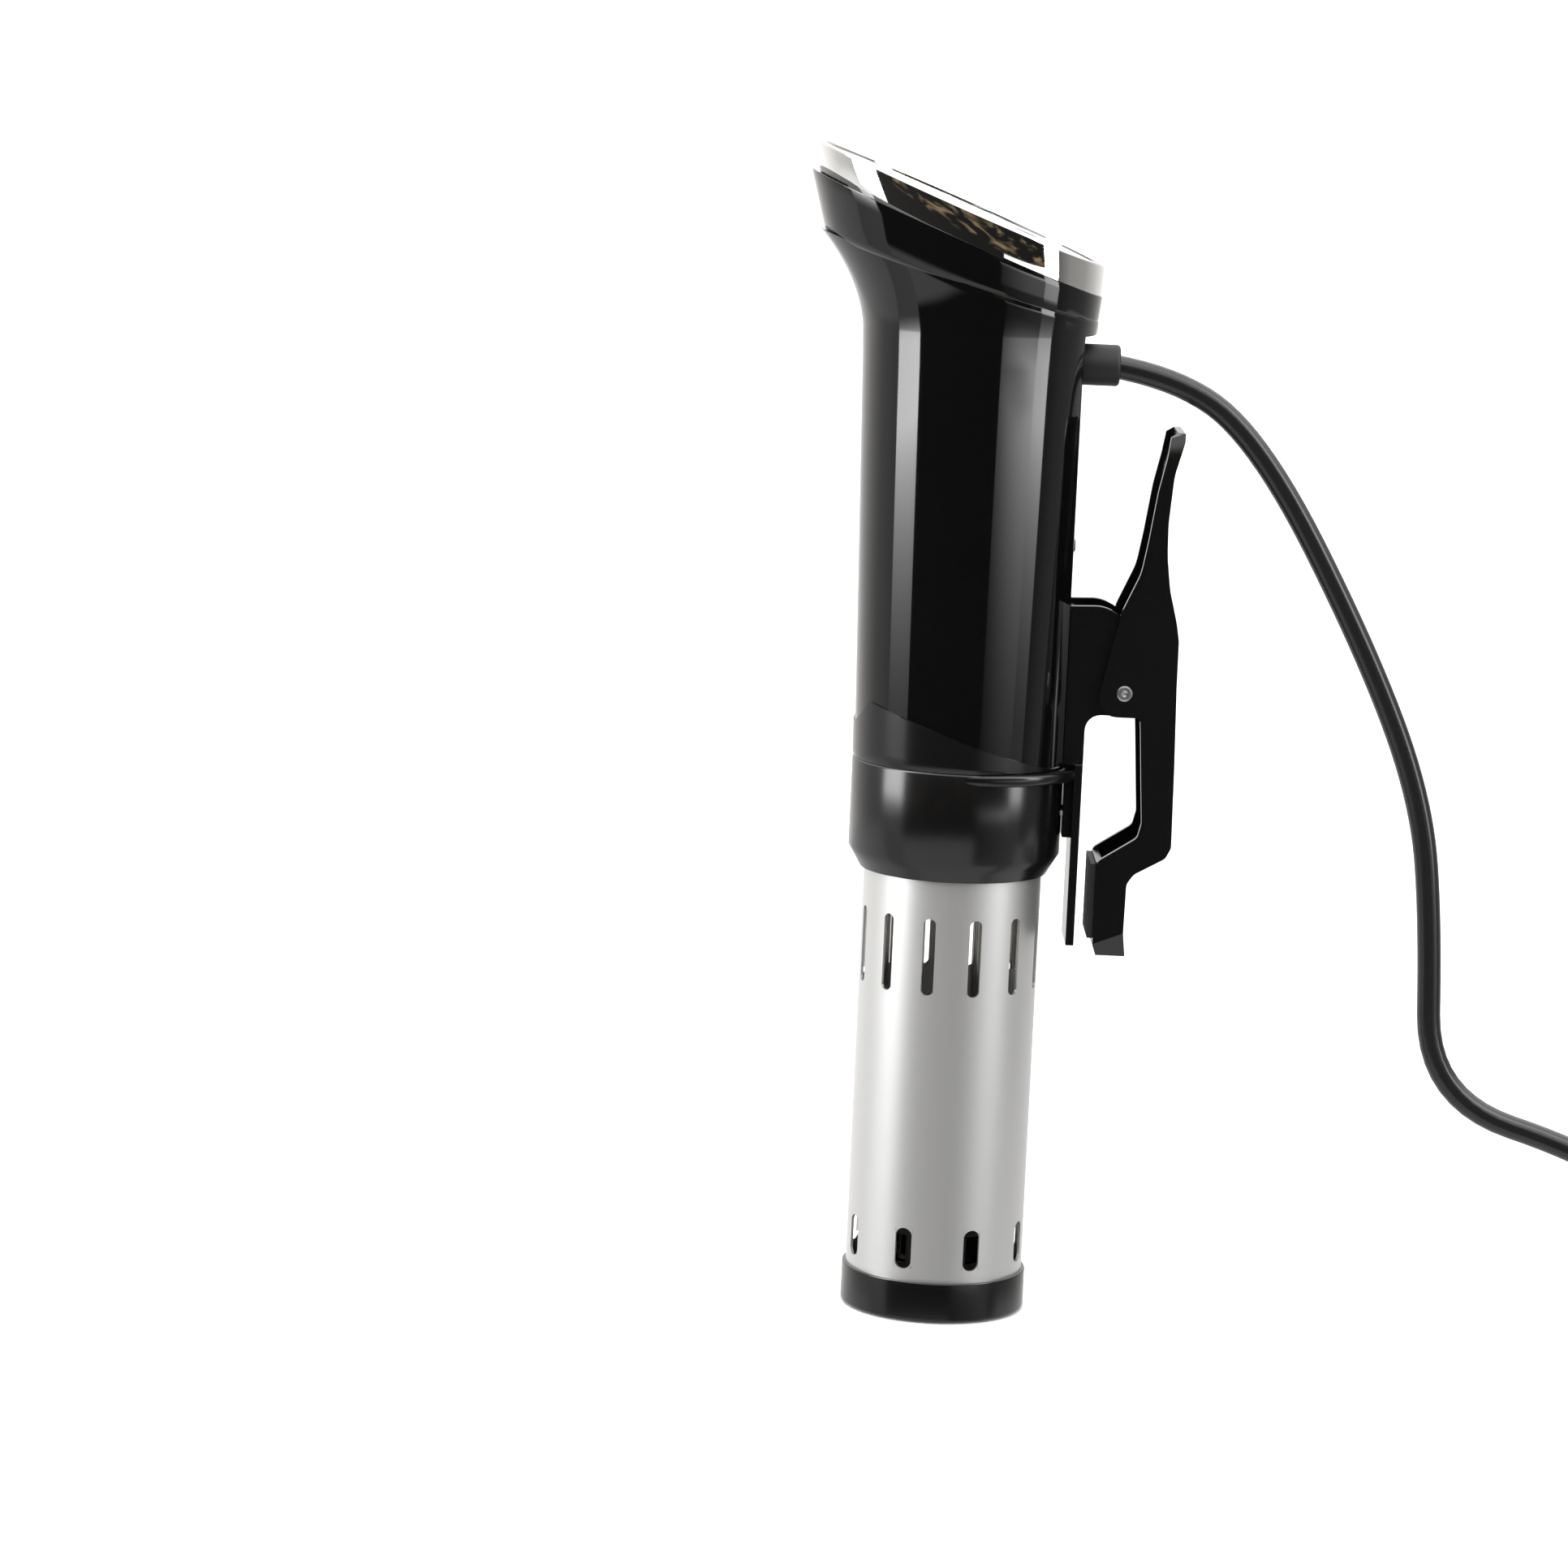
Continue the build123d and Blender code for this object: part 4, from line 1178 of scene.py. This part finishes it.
def make_screws():
    """The screw in the spine, the bracket's upper screw, and the plain shanks of its two lower
    ones."""
    shank, length = 7.0, 8.0
    spine_z = (low_corner("spine_screws")[2] + high_corner("spine_screws")[2]) / 2
    piece("spine_screw", [screw(SPINE_HIGH[0], 0, spine_z, shank)], zinc_steel(),
          ["spine_screws"], crease=30)
    low, high = low_corner("bracket_screws"), high_corner("bracket_screws")
    pin = np.array([(0.0, AXIS), (0.0, 1.2), (length, 1.2), (length, AXIS)])
    screws = [screw(37.0, 0, high[2] - 2.6, shank)]
    screws += [turned(pin, (31.0, y, low[2] + 1.2), (1, 0, 0), 24) for y in (-5.0, 5.0)]
    piece("clamp_screws", screws, zinc_steel(), ["bracket_screws"], crease=30)


# ---------------------------------------- cord
def make_relief():
    """Short moulded sleeve round the cord: straight, with a rounded outer edge and a small
    trumpet where the cord leaves it."""
    start = SPINE_HIGH[0] + GAP
    run, radius = RELIEF_HIGH[0] - start, RELIEF_HIGH[1]
    profile = rounded([
        (0.0, RELIEF_BORE, 0), (0.0, radius, 0.5), (run, radius, 2.4), (run, RELIEF_BORE, 0.5),
    ], closed=True)
    sleeve = turned(profile, (start, 0, RELIEF_Z), (1, 0, 0), 96, closed=True)
    piece("cord_sleeve", [sleeve], relief_rubber(), ["strain_relief"], crease=60)


def coil_points():
    """Control points of the coiled turns, in metres: two and a half turns. The first lies on
    the floor outside, the second inside it, and the last half climbs on top of both."""
    per_turn, coil_turns = 16, 2.5
    outer, step_in = COIL_HIGH[1] - 4.6, 8.3
    floor_z, step_up = 4.2, 7.2
    n = np.arange(0, coil_turns + 1e-9, 1 / per_turn)
    inward = smooth((n - 0.55) / (1.0 - 0.55)) - smooth((n - 1.6) / (2.05 - 1.6))
    # A spline that bends between its control points cuts their corners, so they lie further out.
    radius = (outer - step_in * inward) / np.cos(np.pi / per_turn)
    height = floor_z + step_up * smooth((n - 1.3) / (1.62 - 1.3))
    angle = TAU * n - np.pi / 2
    centre_x = (COIL_LOW[0] + COIL_HIGH[0]) / 2
    points = np.column_stack([centre_x + radius * np.cos(angle), radius * np.sin(angle), height])
    return [tuple(p / MM) for p in points]


def spline_line(points, name):
    """Points read from one open NURBS spline with these control points."""
    data = bpy.data.curves.new(name, "CURVE")
    data.dimensions = "3D"
    spline = data.splines.new("NURBS")
    spline.points.add(len(points) - 1)
    spline.points.foreach_set("co", np.column_stack([points, np.ones(len(points))]).ravel())
    spline.order_u = 3
    spline.use_endpoint_u = True
    spline.resolution_u = 10
    holder = bpy.data.objects.new(name, data)
    bpy.context.scene.collection.objects.link(holder)
    bpy.context.view_layer.update()
    graph = bpy.context.evaluated_depsgraph_get()
    mesh = bpy.data.meshes.new_from_object(holder.evaluated_get(graph))
    line = np.array([v.co for v in mesh.vertices])
    bpy.data.meshes.remove(mesh)
    bpy.data.objects.remove(holder)
    bpy.data.curves.remove(data)
    return line


def make_cord():
    """Mains cord: a round jacket that follows one spline from the strain relief through the
    coil into the plug. A shallow groove runs down either side, where the cores part: the radius
    drops by a bell curve of the angle from the side. Near the floor the grooves turn up."""
    plug_y = (PLUG_LOW[1] + PLUG_HIGH[1]) / 2
    plug_z, into_plug, before_plug, aside = 11.5, 6.0, 12.0, 1.6
    neck = np.array([PLUG_HIGH[0] - into_plug, plug_y, plug_z]) / MM
    near_neck = np.array([PLUG_HIGH[0] + before_plug, plug_y + aside, plug_z]) / MM
    line = spline_line(CORD_ROUTE + coil_points() + [tuple(near_neck), tuple(neck)], "cord_route")
    radius = sizes("cord_diameter") / 2
    columns, groove_depth, groove_width = 48, 0.06, 0.3
    lobes = radius * (1 - groove_depth * np.exp(-(from_nearest(turns(columns), 2) / groove_width) ** 2))
    start_m, turned_over_m = 0.06, 0.03
    low = np.clip((start_m - line[:, 2:]) / turned_over_m, 0, 1)
    side = (1 - low) * np.array([[0.0, 1.0, 0.0]]) + low * np.array([[0.0, 0.0, 1.0]])
    shell = tube(line * MM, side, lobes, columns)
    cord = piece("mains_cord", [shell], cord_jacket(), ["power_cord", "cord_coil"],
                 crease=60)
    uv = cord.data.uv_layers.new(name="jacket")
    run = np.concatenate([[0], np.cumsum(np.linalg.norm(np.diff(line, axis=0), axis=1))])
    corner_points = np.zeros(len(cord.data.loops), int)
    cord.data.loops.foreach_get("vertex_index", corner_points)
    column = corner_points % columns
    mirrored = 1 - np.abs(1 - 2 * column / columns)
    uv.data.foreach_set("uv", np.column_stack([mirrored, run[corner_points // columns]]).ravel())


def make_plug():
    """Moulded plug: superellipse sections from the neck to the face. The grip's ribs narrow
    them by a small share times one less the cosine of the distance along."""
    middle_y = (PLUG_LOW[1] + PLUG_HIGH[1]) / 2
    tall = PLUG_HIGH[2]
    neck_x, face_x = PLUG_HIGH[0], PLUG_LOW[0]
    shoulder = neck_x - 13.0
    rib_pitch, rib_depth = 2.4, 0.02
    # x, half width, half height and superellipse power of the sections where the form changes.
    stations = np.array([
        (neck_x, 4.3, 4.3, 2.0), (neck_x - 0.1, 4.9, 4.9, 2.0), (neck_x - 6.5, 5.4, 5.4, 2.0),
        (shoulder, 6.0, 6.0, 2.0), (shoulder - 2.0, 7.6, 7.4, 2.3), (shoulder - 6.0, 11.0, 10.6, 3.0),
        (shoulder - 12.0, 12.0, 11.5, 3.6), (face_x + 1.4, 12.0, 11.5, 4.0),
        (face_x + 0.4, 11.7, 11.2, 4.0), (face_x, 11.0, 10.5, 4.0), (face_x, 0.1, 0.1, 4.0),
    ])
    fine = np.linspace(0, 1, 12)[:-1, None]
    stretches = [a + fine * (b - a) for a, b in zip(stations, stations[1:])]
    rows = np.concatenate([*stretches, stations[-1:]])
    x, wide, high, power = (rows[:, k:k + 1] for k in range(4))
    grip = (x < shoulder - 10) & (x > face_x + 6)
    rib = 1 - rib_depth * grip * (1 - np.cos(TAU * (x - face_x) / rib_pitch))
    angle = turns(64)
    y = middle_y + wide * rib * power_curve(np.cos(angle), power)
    z = tall / 2 + high * rib * power_curve(np.sin(angle), power)
    piece("plug", [loft(np.stack([x + 0 * y, y, z], -1))], relief_rubber(),
          ["plug_body"], crease=50)


# ---------------------------------------- frame nodes that stay
CARRIED = {
    circuit_board: ["display_board", "power_board"],
    extruded_aluminium: ["heat_sink"],
    moulded_nylon: ["cooling_fan", "impeller"],
    zinc_steel: ["motor", "motor_screws"],
    moulded_pps: ["motor_plate", "bulkhead", "pump_cup"],
    drawn_steel: ["drive_shaft", "heater_loops", "temperature_probe", "level_rods"],
    sintered_bronze: ["shaft_bush"],
    moulded_rubber: ["shaft_seal", "skirt_o_ring"],
    nickel_brass: ["plug_pins"],
}


def dress_carried():
    """Gives each frame node that stays its finish."""
    for make, nodes in CARRIED.items():
        for node in nodes:
            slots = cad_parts[node].data.materials
            slots.clear()
            slots.append(make())


# ---------------------------------------- stage
def make_camera():
    """Camera in front of the object and above its head, looking down by the pitch and rolled by
    the lean, so that the object leans in the view."""
    place = (-0.07074, -1.8, 0.4652)
    pitch, lean = np.radians(9.11), np.radians(2.5)
    right = (np.cos(lean), 0.0, np.sin(lean))
    up = (-np.cos(pitch) * np.sin(lean), np.sin(pitch), np.cos(pitch) * np.cos(lean))
    back = (-np.sin(pitch) * np.sin(lean), -np.cos(pitch), np.sin(pitch) * np.cos(lean))
    data = bpy.data.cameras.new("camera")
    data.sensor_width = 36.0
    data.lens = bpy.context.scene.circulator_stage.lens
    data.clip_end = 300.0
    camera = bpy.data.objects.new("camera", data)
    turn = Matrix((right, up, back)).transposed().to_4x4()
    camera.matrix_world = Matrix.Translation(place) @ turn
    bpy.context.scene.collection.objects.link(camera)
    bpy.context.scene.camera = camera


# Grey of the room by bearing, from 0 straight in front of the object to 1 straight behind it.
ROOM_GREYS = [(0.0, 0.015), (0.34, 0.02), (0.49, 0.42), (0.62, 0.5), (0.80, 0.95), (1.0, 1.25)]
ROOM_WARMTH = (1.0, 0.985, 0.965)
CEILING_GREY, TABLE_GREY, SEEN_GREY = 2.3, 0.9, 1.0
LEFT_GAIN = 0.35                        # by how much the room is brighter on the left
BLOTCHES = [(0.52, (0.0, 0.0, 0.0, 1.0)), (0.68, (0.26, 0.19, 0.10, 1.0))]


def shade_ramp(ramp, stops):
    """Sets a colour ramp's stops from (place, colour) pairs."""
    while len(ramp.elements) < len(stops):
        ramp.elements.new(0.5)
    for element, (place, shade) in zip(ramp.elements, stops):
        element.position = place
        element.color = shade


def make_world():
    """Room light by direction: dark in front of the object with warm blotches, grey beside it,
    brighter on its left, and white behind and above. The pale table lies below, nearer beside
    the object than in front. The camera sees plain white."""
    world = bpy.data.worlds.new("studio")
    bpy.context.scene.world = world
    world.use_nodes = True
    tree = world.node_tree
    math, step, scale = "ShaderNodeMath", "ShaderNodeMapRange", "ShaderNodeVectorMath"
    smoothly = {"interpolation_type": "SMOOTHSTEP"}
    grey = {g: (g, g, g, 1.0) for g in (CEILING_GREY, TABLE_GREY, SEEN_GREY)}

    way = add(tree, "ShaderNodeTexCoord").outputs["Generated"]
    x, y, z = add(tree, "ShaderNodeSeparateXYZ", {}, {0: way}).outputs
    sideways = add(tree, math, {"operation": "ABSOLUTE"}, {0: x})
    forwards = add(tree, math, {"operation": "MULTIPLY", 1: -1.0}, {0: y})
    bearing = add(tree, math, {"operation": "ARCTAN2"}, {0: sideways, 1: forwards})

    # The room's walls, with the left made brighter.
    share = add(tree, math, {"operation": "DIVIDE", 1: float(np.pi)}, {0: bearing})
    ramp = add(tree, "ShaderNodeValToRGB", {}, {0: share})
    shade_ramp(ramp.color_ramp, [
        (place, (*(value * w for w in ROOM_WARMTH), 1.0)) for place, value in ROOM_GREYS
    ])
    gain = add(tree, math, {"operation": "MULTIPLY_ADD", 1: -LEFT_GAIN, 2: 1.0}, {0: x})
    room = add(tree, scale, {"operation": "SCALE"}, {0: ramp, "Scale": gain})

    # Warm blotches on the dark wall ahead, from just under the horizon upwards.
    flat = add(tree, "ShaderNodeMapping", {"Scale": (4.0, 4.0, 14.0)}, {0: way})
    blotch = add(
        tree, "ShaderNodeTexNoise", {"Scale": 1.0, "Detail": 2.5, "Distortion": 0.6}, {0: flat},
    )
    patch = add(tree, "ShaderNodeValToRGB", {}, {0: blotch})
    shade_ramp(patch.color_ramp, BLOTCHES)
    near = {**smoothly, "From Min": 0.9, "From Max": 1.25, "To Min": 1.0, "To Max": 0.0}
    in_front = add(tree, step, near, {0: bearing})
    over = add(tree, step, {**smoothly, "From Min": -0.13, "From Max": -0.1}, {0: z})
    ahead = add(tree, math, {"operation": "MULTIPLY"}, {0: in_front, 1: over})
    warm = add(tree, scale, {"operation": "SCALE"}, {0: patch, "Scale": ahead})
    walls = add(tree, scale, {"operation": "ADD"}, {0: room, 1: warm})

    # The ceiling above, the table below, and white for the camera.
    colour_mix = {"data_type": "RGBA"}
    high = add(tree, step, {**smoothly, "From Min": 0.2, "From Max": 0.6}, {0: z})
    above = add(
        tree, "ShaderNodeMix", {**colour_mix, MIX_B: grey[CEILING_GREY]}, {0: high, MIX_A: walls},
    )
    beside = {**smoothly, "From Min": 1.4, "From Max": 1.6, "To Min": 0.0, "To Max": 0.12}
    nearer = add(tree, step, beside, {0: bearing})
    depth = add(tree, math, {"operation": "SUBTRACT"}, {0: nearer, 1: z})
    low = add(tree, step, {**smoothly, "From Min": 0.34, "From Max": 0.42}, {0: depth})
    below = add(
        tree, "ShaderNodeMix", {**colour_mix, MIX_B: grey[TABLE_GREY]},
        {0: low, MIX_A: above.outputs[MIX_COLOUR]},
    )
    ray = add(tree, "ShaderNodeLightPath").outputs["Is Camera Ray"]
    seen = add(
        tree, "ShaderNodeMix", {**colour_mix, MIX_B: grey[SEEN_GREY]},
        {0: ray, MIX_A: below.outputs[MIX_COLOUR]},
    )
    tree.links.new(seen.outputs[MIX_COLOUR], tree.nodes["Background"].inputs["Color"])


def show_stage(name, mesh, material):
    """Object of the stage from its mesh and material."""
    mesh.materials.append(material)
    obj = bpy.data.objects.new(name, mesh)
    bpy.context.scene.collection.objects.link(obj)
    return obj


def make_softbox(name, start, end, glow_from, glow_to, fade, distance):
    """Upright glowing sheet seen in reflections alone, between two bearings from the camera's
    side in degrees. Its radiance runs from one value to the other across it, and fades
    downwards: full above the first height in fade, and a sixteenth at the second, in metres.
    With a third height, the sheet ends there and its top edge fades out down to the first."""
    bearings = np.radians([start, end])
    left, right = [(distance * np.sin(a), -distance * np.cos(a)) for a in bearings]
    low, high = -3.0, 6.0
    if len(fade) == 3:
        high = fade[2]
    points = [(*left, low), (*right, low), (*right, high), (*left, high)]
    mesh = bpy.data.meshes.new(name)
    mesh.from_pydata([tuple(float(v) for v in p) for p in points], [], [(0, 1, 2, 3)])
    # The UV map holds the share of the way across, and the height in metres.
    uv = mesh.uv_layers.new(name="across")
    uv.data.foreach_set("uv", [0, low, 1, low, 1, high, 0, high])

    level = bpy.context.scene.circulator_stage.softbox
    material = bpy.data.materials.new(name)
    material.use_nodes = True
    tree = material.node_tree
    tree.nodes.clear()
    math, span, times = "ShaderNodeMath", "ShaderNodeMapRange", {"operation": "MULTIPLY"}
    place = add(tree, "ShaderNodeUVMap", {"uv_map": "across"})
    across, height, _ = add(tree, "ShaderNodeSeparateXYZ", {}, {0: place}).outputs
    halvings = {"From Min": fade[1], "From Max": fade[0], "To Min": -4.0, "To Max": 0.0}
    drop = add(tree, span, halvings, {0: height})
    power = add(tree, math, {"operation": "POWER", 0: 2.0}, {1: drop})
    soft = add(tree, span, {"To Min": glow_from * level, "To Max": glow_to * level}, {0: across})
    strength = add(tree, math, times, {0: power, 1: soft})
    if len(fade) == 3:
        edge = add(tree, span, {"From Min": fade[2], "From Max": fade[0]}, {0: height})
        strength = add(tree, math, times, {0: strength, 1: edge})
    glow = add(tree, "ShaderNodeEmission", {}, {"Strength": strength})
    add(tree, "ShaderNodeOutputMaterial", {}, {"Surface": glow})
    sheet = show_stage(name, mesh, material)
    sheet.visible_camera = sheet.visible_diffuse = sheet.visible_shadow = False
    sheet.visible_transmission = False


def make_floor():
    """Paper floor under the foot. Reflections don't show it, so the object mirrors the room."""
    half = bpy.context.scene.circulator_stage.floor_size / 2
    mesh = bpy.data.meshes.new("floor")
    corners = [(-half, -half, 0), (half, -half, 0), (half, half, 0), (-half, half, 0)]
    mesh.from_pydata(corners, [], [(0, 1, 2, 3)])
    show_stage("floor", mesh, floor_paper()).visible_glossy = False


# ---------------------------------------- operators
class CirculatorStep:
    """What every step shares: it is one undoable build action."""

    bl_options = {"REGISTER", "UNDO"}


class CIRCULATOR_OT_camera(CirculatorStep, bpy.types.Operator):
    """Place the camera"""

    bl_idname = "circulator.camera"
    bl_label = "Camera"

    def execute(self, context):
        make_camera()
        return {"FINISHED"}


class CIRCULATOR_OT_cord(CirculatorStep, bpy.types.Operator):
    """Build the strain relief, the plug and the mains cord between them"""

    bl_idname = "circulator.cord"
    bl_label = "Cord and plug"

    def execute(self, context):
        make_relief()
        make_plug()
        make_cord()
        return {"FINISHED"}


class CIRCULATOR_OT_stage(CirculatorStep, bpy.types.Operator):
    """Build the floor, the room light and the softboxes"""

    bl_idname = "circulator.stage"
    bl_label = "Stage"

    def execute(self, context):
        context.scene.view_settings.view_transform = "Standard"
        make_world()
        make_floor()
        make_softbox("softbox_left", -61.0, -86.5, 1.05, 0.85, (0.15, -0.02), 1.2)
        make_softbox("softbox_right", 57.0, 72.0, 0.62, 0.68, (0.15, -0.02), 1.2)
        # A dim broad sheet, low and further off, greys the body's right half under its neck.
        make_softbox("softbox_fill", 21.0, 58.0, 0.12, 0.6, (-0.21, -0.62, -0.14), 4.0)
        return {"FINISHED"}


class CIRCULATOR_OT_bezel(CirculatorStep, bpy.types.Operator):
    """Build the chrome bezel"""

    bl_idname = "circulator.bezel"
    bl_label = "Bezel"

    def execute(self, context):
        make_bezel()
        return {"FINISHED"}


class CIRCULATOR_OT_head_ring(CirculatorStep, bpy.types.Operator):
    """Build the head ring and its gasket"""

    bl_idname = "circulator.head_ring"
    bl_label = "Head ring"

    def execute(self, context):
        make_head_ring()
        return {"FINISHED"}


class CIRCULATOR_OT_panel(CirculatorStep, bpy.types.Operator):
    """Build the touch panel, its window, digits and marks"""

    bl_idname = "circulator.panel"
    bl_label = "Touch panel"

    def execute(self, context):
        make_panel()
        return {"FINISHED"}


class CIRCULATOR_OT_body(CirculatorStep, bpy.types.Operator):
    """Build the front shell and the rear spine"""

    bl_idname = "circulator.body"
    bl_label = "Body covers"

    def execute(self, context):
        make_front_shell()
        make_spine()
        return {"FINISHED"}


class CIRCULATOR_OT_collar(CirculatorStep, bpy.types.Operator):
    """Build the collar"""

    bl_idname = "circulator.collar"
    bl_label = "Collar"

    def execute(self, context):
        make_collar()
        return {"FINISHED"}


class CIRCULATOR_OT_skirt(CirculatorStep, bpy.types.Operator):
    """Build the steel skirt and the foot"""

    bl_idname = "circulator.skirt"
    bl_label = "Skirt and foot"

    def execute(self, context):
        make_skirt()
        make_foot()
        return {"FINISHED"}


class CIRCULATOR_OT_clamp(CirculatorStep, bpy.types.Operator):
    """Build the clamp: bracket, lever, pads, pin and spring"""

    bl_idname = "circulator.clamp"
    bl_label = "Clamp"

    def execute(self, context):
        make_bracket()
        make_lever()
        make_pin()
        make_spring()
        jaw, foot = high_corner("jaw_pad")[0], low_corner("lever_pad")[0]
        ribbed_pad("jaw_rubber", "jaw_pad", jaw, low_corner("jaw_pad")[0], "housing")
        ribbed_pad("lever_rubber", "lever_pad", foot, high_corner("lever_pad")[0], "lever")
        return {"FINISHED"}


class CIRCULATOR_OT_screws(CirculatorStep, bpy.types.Operator):
    """Build the screws"""

    bl_idname = "circulator.screws"
    bl_label = "Screws"

    def execute(self, context):
        make_screws()
        return {"FINISHED"}


class CIRCULATOR_OT_works(CirculatorStep, bpy.types.Operator):
    """Give the frame's own inner parts their finishes"""

    bl_idname = "circulator.works"
    bl_label = "Inner works"

    def execute(self, context):
        dress_carried()
        return {"FINISHED"}


OPERATORS = (
    CIRCULATOR_OT_camera, CIRCULATOR_OT_cord, CIRCULATOR_OT_stage, CIRCULATOR_OT_bezel,
    CIRCULATOR_OT_head_ring, CIRCULATOR_OT_panel, CIRCULATOR_OT_body, CIRCULATOR_OT_collar,
    CIRCULATOR_OT_skirt, CIRCULATOR_OT_clamp, CIRCULATOR_OT_screws, CIRCULATOR_OT_works,
)


class CIRCULATOR_PT_panel(bpy.types.Panel):
    """Steps, sizes and colours of the circulator"""

    bl_idname = "CIRCULATOR_PT_panel"
    bl_label = "Sous vide circulator"
    bl_space_type = "VIEW_3D"
    bl_region_type = "UI"
    bl_category = "Circulator"

    def draw(self, context):
        """Lists the steps, then every size, colour and stage setting."""
        for step in OPERATORS:
            self.layout.operator(step.bl_idname)
        for group in (
            context.scene.circulator_sizes, context.scene.circulator_colours,
            context.scene.circulator_stage,
        ):
            for name in group.__annotations__:
                self.layout.prop(group, name)


GROUPS = {
    "circulator_sizes": CirculatorSizes,
    "circulator_colours": CirculatorColours,
    "circulator_stage": CirculatorStage,
}


def register():
    """Registers the groups, the operators and the panel, and hangs the groups on the scene."""
    for name, group in GROUPS.items():
        bpy.utils.register_class(group)
        setattr(bpy.types.Scene, name, bpy.props.PointerProperty(type=group))
    for step in (*OPERATORS, CIRCULATOR_PT_panel):
        bpy.utils.register_class(step)


def unregister():
    """Takes everything that register added away again."""
    for step in (CIRCULATOR_PT_panel, *reversed(OPERATORS)):
        bpy.utils.unregister_class(step)
    for name, group in GROUPS.items():
        delattr(bpy.types.Scene, name)
        bpy.utils.unregister_class(group)


def main():
    """Runs every step in order."""
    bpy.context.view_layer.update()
    register()
    for step in OPERATORS:
        group, action = step.bl_idname.split(".")
        getattr(getattr(bpy.ops, group), action)()


if __name__ == "__main__":
    main()
